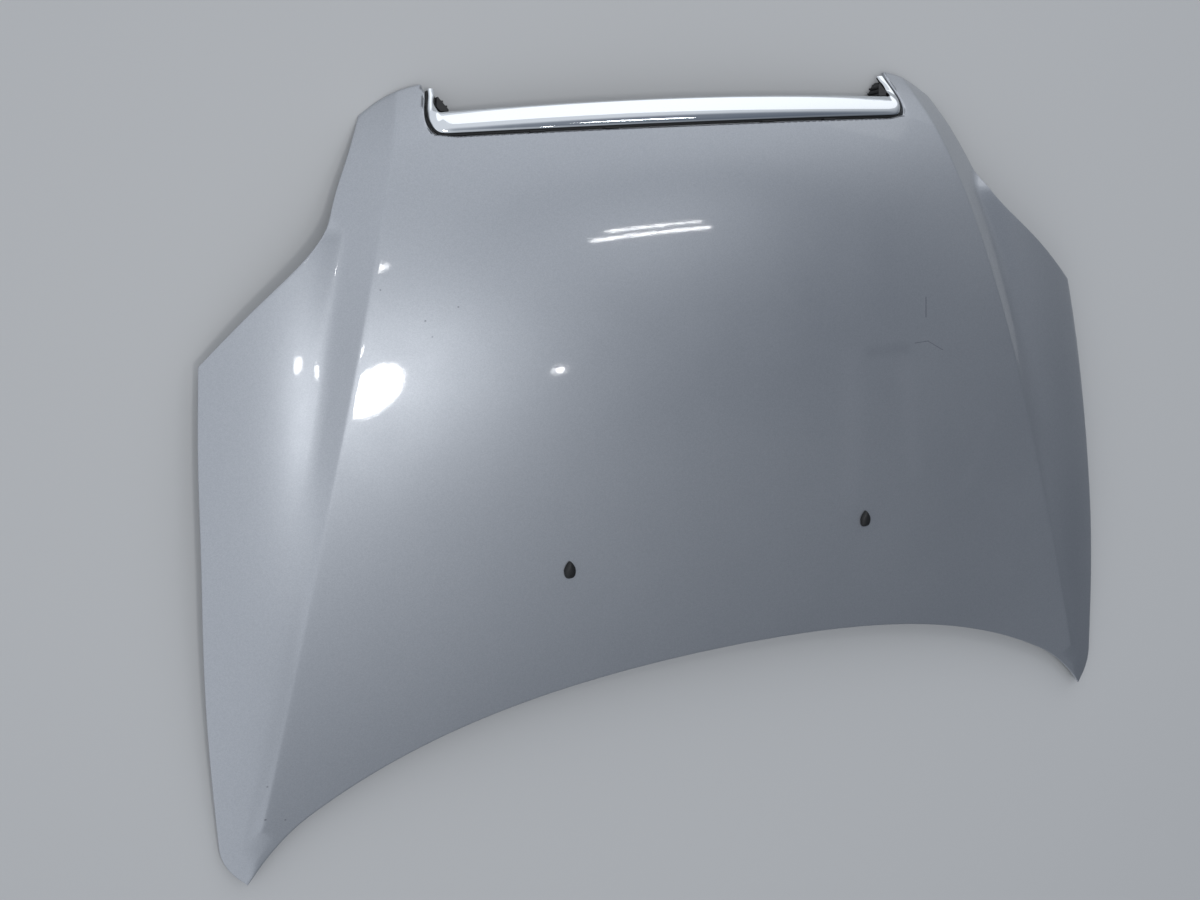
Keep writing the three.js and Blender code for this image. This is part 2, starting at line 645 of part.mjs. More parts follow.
// Outer panel: one folded sheet, hemmed all round and turned down round the grille cut-out
function outerPanel() {
  const body = new Body();
  const topOf = (key) => body.add(grid.get(key), `top ${key}`);
  const under = (key) => body.add(underGrid(key, skinGauge), `under ${key}`);
  for (let r = 0; r < topRow; r++) {
    for (let c = -edgeColumn; c < edgeColumn; c++) {
      const cell = [[r, c], [r, c + 1], [r + 1, c + 1], [r + 1, c]];
      const inCut = r >= cutRow && c < legColumn && c >= -legColumn;
      if (inCut || !cell.every(([a, b]) => inGrid(a, b))) continue;
      if (cell.some(([a, b]) => isRim(a, b))) continue;
      const [a, b, d, e] = cell.map(([row, column]) => gridKey(row, column));
      const centre = grid.get(a).clone().add(grid.get(d)).add(grid.get(b)).add(grid.get(e)).divideScalar(4);
      const miss = (p, q) => Math.abs((grid.get(p).z + grid.get(q).z) / 2 - skinAt(centre.x, centre.y));
      const around = miss(a, d) < miss(b, e) ? [a, b, d, e] : [b, d, e, a];
      body.quad(...around.map(topOf));
      const [i, j, k, l] = around.map(under);
      body.face(i, k, j);
      body.face(i, l, k);
    }
  }
  body.strip(pairs.map((pair) => topOf(pair.key)), pairs.map((pair) => topOf(pair.insideKey)));
  const slot = skinGauge + fitGap + frameGauge + hemSlack;
  const foldShare = skinGauge / hemGrip;
  const hemFold = [
    [0, slot + skinGauge], [hemReach, slot + skinGauge], [hemReach, slot],
    [foldShare, slot], [foldShare, skinGauge],
  ];
  const turnedEdge = [
    [0.02, cutFlangeDepth], [0.02 + foldShare, cutFlangeDepth], [0.01 + foldShare, cutFlangeDepth * 0.7],
    [foldShare, cutFlangeDepth * 0.35], [foldShare, skinGauge],
  ];
  const loops = [rim.map((pair) => body.keys.get(`top ${pair.key}`))];
  for (let k = 0; k < hemFold.length; k++) {
    loops.push(rim.map((pair) => {
      const [share, depth] = (pair.turned ? turnedEdge : hemFold)[k];
      return body.add(rimPoint(pair, share, depth), `fold ${k} ${pair.key}`);
    }));
  }
  for (let k = 1; k < loops.length; k++) {
    if (k === 4) body.strip(loops[k], loops[k - 1]);
    else body.band(loops[k], loops[k - 1]);
  }
  const foldKey = (pair) => body.keys.get(`fold ${hemFold.length - 1} ${pair.key}`);
  body.band(pairs.map((pair) => under(pair.insideKey)), pairs.map(foldKey));
  const holes = [-1, 1].map((side) => {
    return cylinder(jetHoleRadius, -12, 12).applyMatrix4(seatAt(side * jetX, jetY, 0));
  });
  return carved(body.geometry(), holes);
}
piece("outer_panel", outerPanel(), paint);

// Frame shape: rim sheet in the hem, ramp to a deep floor, windows with raised lands, flat pads
const mirrorLoop = (loop) => loop.map(([x, y]) => [-x, y]).reverse();
const windows = [
  ...Object.entries(windowShapes),
  ...Object.entries(sideWindowShapes).flatMap(([name, shape]) => [
    [`${name}Left`, mirrorLoop(shape)], [`${name}Right`, shape],
  ]),
];
const landAt = (x, y) => new THREE.Vector3(x, y, skinAt(x, y) - landDrop);
const floorAt = (x, y) => new THREE.Vector3(x, y, softMax(skinAt(x, y) - frameDepth, floorLimit, 4));

function padPlane(pad, side) {
  const [x, y] = [side * pad.at[0], pad.at[1]];
  const dx = (skinAt(x + 20, y) - skinAt(x - 20, y)) / 40;
  const dy = (skinAt(x, y + 20) - skinAt(x, y - 20)) / 40;
  const middle = new THREE.Vector3(x, y, skinAt(x, y) - pad.drop);
  return { middle, dx, dy, normal: new THREE.Vector3(-dx, -dy, 1).normalize(), turn: side * pad.turn };
}
function padCorners(pad, plane) {
  return rectangle(...pad.size).map(([u, v]) => {
    const x = plane.middle.x + u * Math.cos(plane.turn) - v * Math.sin(plane.turn);
    const y = plane.middle.y + u * Math.sin(plane.turn) + v * Math.cos(plane.turn);
    return [x, y];
  });
}
const padPlanes = [
  ...[-1, 1].map((side) => ({ pad: hingePad, plane: padPlane(hingePad, side) })),
  ...[-1, 1].map((side) => ({ pad: bufferPad, plane: padPlane(bufferPad, side) })),
  { pad: latchPad, plane: padPlane(latchPad, 1) },
  { pad: propPad, plane: padPlane(propPad, -1) },
  ...tabPads.flatMap((pad) => [-1, 1].map((side) => ({ pad, plane: padPlane(pad, side) }))),
];
const planesOf = (wanted) => padPlanes.filter(({ pad }) => wanted.includes(pad)).map(({ plane }) => plane);
function onPad(plane, u, v, height) {
  const along = new THREE.Vector3(-Math.sin(plane.turn), Math.cos(plane.turn), 0);
  along.addScaledVector(plane.normal, -along.dot(plane.normal)).normalize();
  const across = new THREE.Vector3().crossVectors(along, plane.normal);
  const at = plane.middle.clone().addScaledVector(across, u).addScaledVector(along, v);
  at.addScaledVector(plane.normal, height);
  return new THREE.Matrix4().makeBasis(across, along, plane.normal).setPosition(at);
}

// Plan line a fixed distance inside the rim, without the points that crowd together at corners
function insetLoop(distance) {
  const outline = rim.map((pair) => pair.edge);
  const n = outline.length;
  const gapTo = (x, y) => {
    let least = Infinity;
    for (let i = 0; i < n; i++) {
      const [a, b] = [outline[i], outline[(i + 1) % n]];
      const [ux, uy] = [b.x - a.x, b.y - a.y];
      const t = clamp01(((x - a.x) * ux + (y - a.y) * uy) / (ux * ux + uy * uy));
      least = Math.min(least, Math.hypot(x - a.x - t * ux, y - a.y - t * uy));
    }
    return least;
  };
  const points = [];
  for (let i = 0; i < n; i++) {
    const [before, at, after] = [outline[(i + n - 1) % n], outline[i], outline[(i + 1) % n]];
    const first = new THREE.Vector2(before.y - at.y, at.x - before.x).normalize();
    const second = new THREE.Vector2(at.y - after.y, after.x - at.x).normalize();
    const normal = first.clone().add(second).normalize();
    const reach = first.cross(second) > 0 ? distance / normal.dot(first) : distance;
    const x = at.x + normal.x * reach;
    const y = at.y + normal.y * reach;
    if (gapTo(x, y) < distance * 0.97) continue;
    const last = points[points.length - 1];
    if (!last || Math.hypot(x - last[0], y - last[1]) > 9) points.push([x, y]);
  }
  return points;
}

function innerPanel() {
  const body = new Body();
  const seat = skinGauge + fitGap;
  const rimIds = new Map();
  rim.forEach((pair) => rimIds.set(pair.key, body.add(rimPoint(pair, frameReach, seat))));
  const insideIds = [];
  pairs.forEach((pair) => {
    const known = body.keys.has(pair.insideKey);
    const id = body.add(underGrid(pair.insideKey, seat), pair.insideKey);
    if (!known) insideIds.push(id);
  });
  body.strip(pairs.map((pair) => rimIds.get(pair.key)), pairs.map((pair) => body.keys.get(pair.insideKey)));
  const floorLoop = insetLoop(perimeterInset).map(([x, y]) => body.add(floorAt(x, y)));
  body.zip(insideIds, floorLoop);
  const islands = [];
  const edges = [];
  for (const [, shape] of windows) {
    const ring = (offset, place) => roundedOutline(shape, windowRadius, offset, 3, 90)
      .map(([x, y]) => body.add(place(x, y)));
    const hole = ring(0, landAt);
    const land = ring(landWidth, landAt);
    const foot = ring(landWidth + rampWidth, floorAt);
    body.band(land, hole);
    body.band(foot, land);
    islands.push(foot);
    edges.push(hole);
  }
  for (const { pad, plane } of padPlanes) {
    const corners = padCorners(pad, plane);
    const flat = roundedOutline(corners, padRound, 0, 2, Infinity).map(([x, y]) => {
      const z = plane.middle.z + plane.dx * (x - plane.middle.x) + plane.dy * (y - plane.middle.y);
      return body.add(new THREE.Vector3(x, y, z));
    });
    const foot = roundedOutline(corners, padRound, padRamp, 2, Infinity)
      .map(([x, y]) => body.add(floorAt(x, y)));
    body.band(foot, flat);
    fillPlan(body, flat, []);
    islands.push(foot);
  }
  fillPlan(body, floorLoop, islands);
  const rimEdge = rim.map((pair) => rimIds.get(pair.key));
  return thickened(body, frameGauge, [rimEdge, ...edges.map((edge) => edge.reverse())]);
}

// Give a pressed sheet its gauge by moving a copy square to itself, then close the edges
function thickened(sheet, gauge, openEdges) {
  const count = sheet.points.length;
  const normals = sheet.points.map(() => []);
  for (const face of sheet.faces) {
    const [a, b, c] = face.map((i) => sheet.points[i]);
    const normal = new THREE.Vector3().crossVectors(b.clone().sub(a), c.clone().sub(a)).normalize();
    face.forEach((i) => normals[i].push(normal));
  }
  const under = sheet.points.map((p, i) => {
    const mean = normals[i].reduce((sum, n) => sum.add(n), new THREE.Vector3()).normalize();
    const lean = normals[i].reduce((least, n) => Math.min(least, n.dot(mean)), 1);
    return p.clone().addScaledVector(mean, -gauge / Math.max(0.75, lean));
  });
  const body = new Body();
  body.points = [...sheet.points, ...under];
  body.faces = [...sheet.faces];
  sheet.faces.forEach(([a, b, c]) => body.face(a + count, c + count, b + count));
  openEdges.forEach((edge) => body.band(edge.map((i) => i + count), edge));
  return body.geometry();
}
const hingeBolts = [-hingeBoltSpacing / 2, hingeBoltSpacing / 2];
const latchBolts = [-latchBoltSpacing / 2, latchBoltSpacing / 2];
const drill = (plane, u, v, radius) => cylinder(radius, -8, 8, 12).applyMatrix4(onPad(plane, u, v, 0));
const innerHoles = padPlanes.flatMap(({ pad, plane }) => {
  if (pad === hingePad) return hingeBolts.map((v) => drill(plane, 0, v, hingeBoltRadius));
  if (pad === latchPad) return latchBolts.map((u) => drill(plane, u, 0, latchBoltRadius));
  if (pad === propPad) return [drill(plane, 0, 0, propHoleRadius)];
  return [drill(plane, 0, 0, tabPads.includes(pad) ? tabHoleRadius : stopStemRadius + fitGap)];
});
piece("inner_panel", carved(innerPanel(), innerHoles), framePaint);

// Hinge reinforcements inside the frame, with their welded nuts
function ringNut(across, height, bore, place) {
  const body = carved(cylinder(across / Math.sqrt(3), 0, height, 6), [cylinder(bore, -1, height + 1, 12)]);
  return body.applyMatrix4(place);
}
function hingePlate(plane) {
  const plate = plateFrom(rectangle(hingePlateSize[0], hingePlateSize[1]), 8, 0, plateGauge, 2);
  const holes = hingeBolts.map((v) => cylinder(hingeBoltRadius, -1, plateGauge + 1, 12).translate(0, v, 0));
  return carved(plate, holes).applyMatrix4(onPad(plane, 0, 0, fitGap));
}
sides.forEach(([side], i) => {
  const plane = planesOf([hingePad])[i];
  piece(`hinge_reinforcement_${side}`, hingePlate(plane), zinc);
  [["rear", -1], ["front", 1]].forEach(([end, along]) => {
    const place = onPad(plane, 0, (along * hingeBoltSpacing) / 2, plateGauge + 2 * fitGap);
    const nut = ringNut(hingeNut[0], hingeNut[1], hingeBoltRadius - 0.6, place);
    piece(`hinge_nut_${side}_${end}`, nut, steel);
  });
});

// Latch: stiffener above the frame, striker plate and wire loop below it
const [latchPlane] = planesOf([latchPad]);
function latchPlate(size, gauge, extraHoles) {
  const plate = plateFrom(rectangle(size[0], size[1]), 7, 0, gauge, 2);
  const bolts = latchBolts.map((u) => cylinder(latchBoltRadius, -1, gauge + 1, 12).translate(u, 0, 0));
  return carved(plate, [...bolts, ...extraHoles]);
}
piece("latch_reinforcement", latchPlate(latchPlateSize, plateGauge, [])
  .applyMatrix4(onPad(latchPlane, 0, 0, fitGap)), zinc);
const strikerTop = -frameGauge * 1.35 - fitGap;
const loopHoles = [-1, 1].map((u) =>
  cylinder(loopWire + 1.2 * fitGap, -1, strikerGauge + 1, 12).translate((u * loopSpan) / 2, 0, 0));
piece("striker_plate", latchPlate(strikerSize, strikerGauge, loopHoles)
  .applyMatrix4(onPad(latchPlane, 0, 0, strikerTop - strikerGauge)), zinc);

function strikerLoop() {
  const half = loopSpan / 2;
  const bend = 9;
  const path = new THREE.CurvePath();
  const at = (u, w) => new THREE.Vector3(u, 0, w);
  path.add(new THREE.LineCurve3(at(-half, 0), at(-half, -loopDrop + bend)));
  const [left, right] = [at(-half, -loopDrop + bend), at(half, -loopDrop + bend)];
  const [lowLeft, lowRight] = [at(-half + bend, -loopDrop), at(half - bend, -loopDrop)];
  path.add(new THREE.QuadraticBezierCurve3(left, at(-half, -loopDrop), lowLeft));
  path.add(new THREE.LineCurve3(lowLeft, lowRight));
  path.add(new THREE.QuadraticBezierCurve3(lowRight, at(half, -loopDrop), right));
  path.add(new THREE.LineCurve3(right, at(half, 0)));
  const wire = new THREE.Shape().absarc(0, 0, loopWire, 0, Math.PI * 2);
  const shape = new THREE.ExtrudeGeometry(wire, { steps: 26, curveSegments: 4, extrudePath: path });
  return shape.applyMatrix4(onPad(latchPlane, 0, 0, strikerTop - 0.2));
}
piece("striker_loop", strikerLoop(), steel);
function bolt(radius, length, across, height) {
  const parts = [
    cylinder(radius, -0.6, length, 12),
    cylinder(across * 0.72, -1.6, 0, 12),
    cylinder(across / Math.sqrt(3), -height, -1.2, 6),
  ];
  return joined(parts);
}
sides.forEach(([side, sign]) => {
  const u = (sign * latchBoltSpacing) / 2;
  const under = strikerTop - strikerGauge - fitGap;
  const nutBase = plateGauge + 2 * fitGap;
  const length = nutBase + 5 - under;
  const screw = bolt(latchBoltRadius - 0.6, length, 10, 6).applyMatrix4(onPad(latchPlane, u, 0, under));
  const nut = ringNut(10, 5.5, latchBoltRadius - 0.15, onPad(latchPlane, u, 0, nutBase));
  piece(`striker_bolt_${side}`, screw, zinc);
  piece(`latch_nut_${side}`, nut, steel);
});

// Rubber stops under the front beam, each with a stem through its pad
sides.forEach(([side], i) => {
  const plane = planesOf([bufferPad])[i];
  const seatUnder = -frameGauge * 1.35 - fitGap;
  const stop = joined([
    cylinder(stopRadius, -stopHeight, 0, 24, stopRadius * 0.82).translate(0, 0, seatUnder),
    cylinder(stopStemRadius, seatUnder - 1, 5, 12),
  ]);
  piece(`rubber_stop_${side}`, stop.applyMatrix4(onPad(plane, 0, 0, 0)), rubber);
});

// Washer jets: tapered heads on the skin, clipped through it
function washerJet() {
  const [width, length, height] = jetHead;
  const levels = [[0, 1], [0.45, 0.97], [0.8, 0.8], [1, 0.45]];
  const body = new Body();
  const rings = levels.map(([rise, size]) => {
    const points = [];
    for (let k = 0; k < 18; k++) {
      const angle = (k / 18) * Math.PI * 2;
      const taper = 1 - 0.3 * Math.sin(angle);
      const x = (width / 2) * size * Math.cos(angle) * (Math.sin(angle) > 0 ? taper : 1);
      const y = (length / 2) * size * Math.sin(angle);
      points.push(body.add(new THREE.Vector3(x, y, fitGap + rise * height)));
    }
    return points;
  });
  for (let k = 1; k < rings.length; k++) body.band(rings[k - 1], rings[k]);
  const cap = (ring, z, up) => {
    const middle = body.add(new THREE.Vector3(0, 0, z));
    ring.forEach((id, k) => {
      const next = ring[(k + 1) % ring.length];
      if (up) body.face(id, next, middle);
      else body.face(next, id, middle);
    });
  };
  cap(rings[0], fitGap, false);
  cap(rings[rings.length - 1], fitGap + height, true);
  const clipTop = -skinGauge - 2 * fitGap;
  return joined([
    body.geometry(),
    cylinder(jetStemRadius, -jetStemLength, fitGap + 1, 14),
    cylinder(jetClipRadius * 0.8, clipTop - jetClipHeight, clipTop, 14, jetClipRadius),
    cylinder(jetBarbRadius, -jetStemLength - jetBarbLength, -jetStemLength + 1, 10),
    cylinder(jetBarbRadius * 1.35, -jetStemLength - 8, -jetStemLength - 5, 10, jetBarbRadius),
  ]);
}
sides.forEach(([side, sign]) => {
  piece(`washer_jet_${side}`, washerJet().applyMatrix4(seatAt(sign * jetX, jetY, 0)), blackPlastic);
});

// Beads of anti-flutter mastic on the window lands
const beadSpots = windows.flatMap(([name, shape]) => {
  const spots = shape.map(([x, y], i) => {
    const [nx, ny] = shape[(i + 1) % shape.length];
    const length = Math.hypot(nx - x, ny - y);
    const out = landWidth / 2;
    const turn = Math.atan2(ny - y, nx - x);
    return { x: (x + nx) / 2 + Math.sin(turn) * out, y: (y + ny) / 2 - Math.cos(turn) * out, turn, length };
  });
  return name.startsWith("wing") ? [] : spots.filter((spot) => spot.length > beadEdge).slice(0, 2);
});
beadSpots.forEach(({ x, y, turn }, i) => {
  const bead = plateFrom(rectangle(beadSize[0], beadSize[1]), 3.6, 0, beadSize[2], 2).rotateZ(turn);
  const base = seatAt(x, y, landDrop - beadLift);
  piece(`mastic_bead_${i + 1}`, bead.applyMatrix4(base), mastic);
});

// Chrome trim: a wide bar whose ends turn up the horns, and the black carrier behind it
const trimEdges = [];
const legOuterAt = (y) => legAt(y) - trimGap;
const [cornerX, cornerY] = cutCorner;
for (const t of [0, 0.25, 0.5, 0.75, 1]) {
  const y = mix(trimLegTopY, cornerY + 20.5, t);
  const innerX = cornerX - mix(16, 10.5, ease(t * 1.4));
  trimEdges.push({ outer: [legOuterAt(y), y], inner: [innerX, mix(trimLegTopY, trimTopY - 2, t)] });
}
trimEdges.push({ outer: [cornerX, cornerY + 10.5], inner: [cornerX - 11, trimTopY - 4.6] });
trimEdges.push({ outer: [cornerX - 5.5, cornerY + 3.9], inner: [cornerX - 14, trimTopY - 6.1] });
trimEdges.push({ outer: [cornerX - 15, cornerY + 1.5], inner: [cornerX - 21, trimTopY - 6] });
for (const x of [325, 280, 230, 180, 125, 65].map(across)) {
  const top = trimTopY - trimTopBow * (x / trimHalf) ** 2;
  trimEdges.push({ outer: [x, cutY + trimGap], inner: [x, top] });
}
function trimRows() {
  const half = trimEdges.map(({ outer, inner }) => {
    const lip = new THREE.Vector3(outer[0], outer[1], raisedAt(outer[0], outer[1]) - 0.6);
    const x = inner[0];
    const barZ = trimTopZ - trimTopFall * (x / trimHalf) ** 2;
    const legZ = raisedAt(outer[0], inner[1]) - 3;
    const up = x > cornerX - 21 ? ease((inner[1] - trimTopY + 5.5) / 8) : 0;
    return [lip, new THREE.Vector3(x, inner[1], mix(barZ, legZ, up))];
  });
  const flip = (p) => new THREE.Vector3(-p.x, p.y, p.z);
  const middle = [
    new THREE.Vector3(0, cutY + trimGap, mainAt(0, cutY + trimGap) - 0.6),
    new THREE.Vector3(0, trimTopY, trimTopZ),
  ];
  return [...half.map((pair) => pair.map(flip)), middle, ...half.slice().reverse()];
}
function ribbon(rows, sharesAt, heightAt, depth) {
  const body = new Body();
  const lines = rows.map(([lip, top], i) => {
    const across = top.clone().sub(lip);
    const before = rows[Math.max(0, i - 1)];
    const after = rows[Math.min(rows.length - 1, i + 1)];
    const along = after[0].clone().add(after[1]).sub(before[0]).sub(before[1]);
    const normal = new THREE.Vector3().crossVectors(along, across).normalize();
    const width = across.length();
    const shares = sharesAt(width);
    const place = (share, lift) => lip.clone().addScaledVector(across, share).addScaledVector(normal, lift);
    const over = shares.map((share) => place(share, heightAt(share, width)));
    const under = shares.map((share) => place(share, heightAt(share, width) - depth)).reverse();
    return [...over, ...under].map((p) => body.add(p));
  });
  const n = lines[0].length;
  for (let i = 0; i < lines.length - 1; i++) {
    for (let k = 0; k < n; k++) {
      const m = (k + 1) % n;
      body.quad(lines[i][k], lines[i + 1][k], lines[i + 1][m], lines[i][m]);
    }
  }
  const m = n / 2;
  for (let k = 0; k < m - 1; k++) {
    const [first, last] = [lines[0], lines[lines.length - 1]];
    body.quad(first[k], first[k + 1], first[n - 2 - k], first[n - 1 - k]);
    body.quad(last[k + 1], last[k], last[n - 1 - k], last[n - 2 - k]);
  }
  return body.geometry();
}
const trimBulgeAt = (share, width) => Math.min(trimBulge, width * 0.1) * 4 * share * (1 - share);
const trimShares = [0, 0.18, 0.5, 0.82, 1];
piece("grille_trim", ribbon(trimRows(), () => trimShares, trimBulgeAt, trimGauge), chrome);

// Black carrier: a strip behind the chrome with ribbed ends, held by tabs under the front beam
const underFrame = frameGauge * 1.35 + fitGap;
const carrierLift = -trimGauge - carrierClear;
function carrierStrip() {
  const sharesAt = (width) => [-carrierShow / width, 0.18, 0.82, 0.96];
  const dropped = (share, width) => Math.min(trimBulgeAt(share, width), 0.5 * trimBulge) + carrierLift;
  return ribbon(trimRows(), sharesAt, dropped, carrierGauge);
}
function box(u, v, w) {
  const shape = new THREE.BoxGeometry(u[1] - u[0], v[1] - v[0], w[1] - w[0]);
  return shape.translate((u[0] + u[1]) / 2, (v[0] + v[1]) / 2, (w[0] + w[1]) / 2);
}
function carrierTab(plane) {
  const place = onPad(plane, 0, 0, 0);
  const reach = (cutY + trimGap + 3 - plane.middle.y) / Math.hypot(1, plane.dy) + plane.dy * frameDepth;
  const front = onPad(plane, 0, reach, 0);
  const foot = new THREE.Vector3().setFromMatrixPosition(front);
  const rise = (mainAt(foot.x, foot.y) + carrierLift - 0.6 * carrierGauge - foot.z) / plane.normal.z;
  const half = tabWidth / 2;
  const low = -underFrame - tabGauge;
  const parts = [
    box([-half, half], [-tabEnd, reach], [low, -underFrame]),
    box([-half, half], [reach - tabGauge, reach], [low, rise]),
    box([-1, 1], [reach - 8, reach - 1], [-underFrame - 1, 4]),
  ];
  return carved(joined(parts), [cylinder(tabHoleRadius, low - 2, 2, 12)]).applyMatrix4(place);
}
function carrierEnd(sign) {
  const surface = (x, y) => raisedAt(cornerX - 6, y) - 3.5 - (y < trimTopY - 6 ? 4 : 0);
  const byCorner = ([inward, ahead]) => [cornerX - inward, trimTopY + ahead];
  const near = [[28, -4.8], [15.4, -4.8], [11.8, 1], [16.8, 17]].map(byCorner);
  const wide = [[30, -7.5], [12, -7.5], [7.5, 0], [13, 19]].map(byCorner);
  const parts = [
    plateFrom(near, 1, endFoot, surface, 1),
    plateFrom(wide, 1, endFoot, (x, y) => raisedAt(cornerX - 6, y) - 9.2, 1),
  ];
  for (const t of [0.3, 0.62]) {
    const x = mix(near[0][0], near[3][0], t);
    const y = mix(near[0][1], near[3][1], t);
    parts.push(box([x - 2.6, x + 6], [y - 1.1, y + 1.1], [endFoot, surface(x, y) - 2.5]));
  }
  const end = joined(parts);
  return sign > 0 ? end : geometryOf(solidOf(end).mirror([1, 0, 0]));
}
const tabPlanes = planesOf(tabPads).sort((a, b) => a.middle.x - b.middle.x);
piece("trim_carrier", joined([
  carrierStrip(), ...tabPlanes.map(carrierTab), carrierEnd(-1), carrierEnd(1),
]), blackPlastic);
tabPlanes.forEach((plane, i) => {
  const under = -underFrame - tabGauge - fitGap;
  const screw = joined([
    cylinder(tabHoleRadius - 0.6, -0.6, 6 - under, 10),
    cylinder(4.6, -3.4, 0, 12),
  ]).translate(0, 0, under);
  piece(`trim_screw_${i + 1}`, screw.applyMatrix4(onPad(plane, 0, 0, 0)), zinc);
});

// Clip for the prop rod
const propClip = carved(joined([
  cylinder(propHoleRadius + 4, -underFrame - 2.4, -underFrame, 20),
  cylinder(propHoleRadius - 0.4, -underFrame - 1, 4, 16),
]), [cylinder(propHoleRadius - 2.4, -12, 12, 16)]);
piece("prop_rod_clip", propClip.applyMatrix4(onPad(planesOf([propPad])[0], 0, 0, 0)), blackPlastic);

// Stand the part on z = 0, centred in plan
const bounds = new THREE.Box3();
pieces.forEach((mesh) => bounds.expandByObject(mesh));
const centre = bounds.getCenter(new THREE.Vector3());
const group = new THREE.Group();
pieces.forEach((mesh) => {
  mesh.geometry.translate(-centre.x, -centre.y, -bounds.min.z);
  group.add(mesh);
});
export default group;
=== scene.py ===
# Car bonnet: silver skin over a pressed frame, bright grille trim and washer jets, lying crown up.
import math
from functools import lru_cache

import bmesh
import bpy
import numpy as np
from mathutils import Matrix, Vector


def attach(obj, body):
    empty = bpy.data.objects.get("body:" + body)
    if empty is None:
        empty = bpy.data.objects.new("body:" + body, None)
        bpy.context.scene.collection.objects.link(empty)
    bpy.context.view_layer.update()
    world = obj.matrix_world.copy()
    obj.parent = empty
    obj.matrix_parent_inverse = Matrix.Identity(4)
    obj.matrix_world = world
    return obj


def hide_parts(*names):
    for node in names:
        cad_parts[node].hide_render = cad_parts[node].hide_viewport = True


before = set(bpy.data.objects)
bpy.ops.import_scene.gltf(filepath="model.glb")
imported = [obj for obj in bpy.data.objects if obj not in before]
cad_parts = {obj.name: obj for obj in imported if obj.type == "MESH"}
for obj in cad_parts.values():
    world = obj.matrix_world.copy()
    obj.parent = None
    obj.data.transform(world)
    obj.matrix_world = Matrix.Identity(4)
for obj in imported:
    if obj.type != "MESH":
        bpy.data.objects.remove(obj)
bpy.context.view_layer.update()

mm = 0.001

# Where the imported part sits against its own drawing: the drawing has Y = 0 at the rear tips.
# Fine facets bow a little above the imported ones, so everything drawn here sits 0.25 mm lower
drawingShift = (0.0, -511.7, 15.656 - 0.25)

scene = bpy.context.scene
scene.view_settings.view_transform = "Standard"


# Small helpers
def mix(a, b, t):
    return a + (b - a) * t


def mixPair(a, b, t):
    return mix(a[0], b[0], t), mix(a[1], b[1], t)


def clamp01(t):
    return min(1.0, max(0.0, t))


def ease(t):
    return clamp01(t) ** 2 * (3 - 2 * clamp01(t))


def softMax(a, b, r):
    return 0.5 * (a + b + math.hypot(a - b, r))


def softMin(a, b, r):
    return 0.5 * (a + b - math.hypot(a - b, r))


def linearColour(hexValue):
    parts = [int(hexValue[i:i + 2], 16) / 255 for i in (1, 3, 5)]
    return tuple(p / 12.92 if p <= 0.04045 else ((p + 0.055) / 1.055) ** 2.4 for p in parts) + (1.0,)


def curveThrough(stations, values):  # natural spline through the stations
    n = len(stations)
    second = [0.0] * n
    work = [0.0] * n
    for i in range(1, n - 1):
        before = stations[i] - stations[i - 1]
        after = stations[i + 1] - stations[i]
        share = before / (before + after)
        p = share * second[i - 1] + 2
        second[i] = (share - 1) / p
        rise = (values[i + 1] - values[i]) / after - (values[i] - values[i - 1]) / before
        work[i] = ((6 * rise) / (before + after) - share * work[i - 1]) / p
    for i in range(n - 2, 0, -1):
        second[i] = second[i] * second[i + 1] + work[i]

    def at(t):
        k = 0
        while k < n - 2 and t > stations[k + 1]:
            k += 1
        span = stations[k + 1] - stations[k]
        b = (t - stations[k]) / span
        a = 1 - b
        bend = (a ** 3 - a) * second[k] + (b ** 3 - b) * second[k + 1]
        return a * values[k] + b * values[k + 1] + bend * span * span / 6
    return at


def newPiece(name, points, faces):
    mesh = bpy.data.meshes.new(name)
    mesh.from_pydata([tuple(p) for p in points], [], faces)
    mesh.validate()
    mesh.shade_smooth()
    piece = bpy.data.objects.new(name, mesh)
    scene.collection.objects.link(piece)
    return piece


def placed(points):  # drawing millimetres to packed metres
    dx, dy, dz = drawingShift
    return [((x + dx) * mm, (y + dy) * mm, (z + dz) * mm) for x, y, z in points]


def addNode(tree, kind, given=None):  # what is given is a link, several links, an input's value or a property
    node = tree.nodes.new(kind)
    for key, value in (given or {}).items():
        sources = value if isinstance(value, list) else [value]
        if isinstance(sources[0], bpy.types.NodeSocket):
            for source in sources:
                tree.links.new(source, node.inputs[key])
        elif isinstance(key, int) or key in node.inputs:
            node.inputs[key].default_value = value
        else:
            setattr(node, key, value)
    return node.outputs


socketKind = {float: "NodeSocketFloat", int: "NodeSocketInt"}


def newTree(name, sizes):  # an empty modifier tree with a named input for each size, and one for the finish
    tree = bpy.data.node_groups.new(name, "GeometryNodeTree")
    tree.is_modifier = True
    tree.interface.new_socket("Geometry", in_out="INPUT", socket_type="NodeSocketGeometry")
    for label, value in sizes.items():
        tree.interface.new_socket(label, in_out="INPUT", socket_type=socketKind[type(value)]).default_value = value
    tree.interface.new_socket("Finish", in_out="INPUT", socket_type="NodeSocketMaterial")
    tree.interface.new_socket("Geometry", in_out="OUTPUT", socket_type="NodeSocketGeometry")
    return tree, tree.nodes.new("NodeGroupInput").outputs


def sizesOf(form, *labels):  # the millimetres of a form, as a tree takes them
    return {label: form[label.lower()] * mm for label in labels}


def laidOut(tree, points, shape):  # a copy of the shape on each point, turned as the point says
    turn = addNode(tree, "GeometryNodeInputNamedAttribute", {"data_type": "FLOAT_VECTOR", "Name": "turn"})
    rotation = addNode(tree, "FunctionNodeEulerToRotation", {0: turn[0]})
    return addNode(tree, "GeometryNodeInstanceOnPoints", {"Points": points, "Instance": shape,
                                                          "Rotation": rotation[0]})[0]


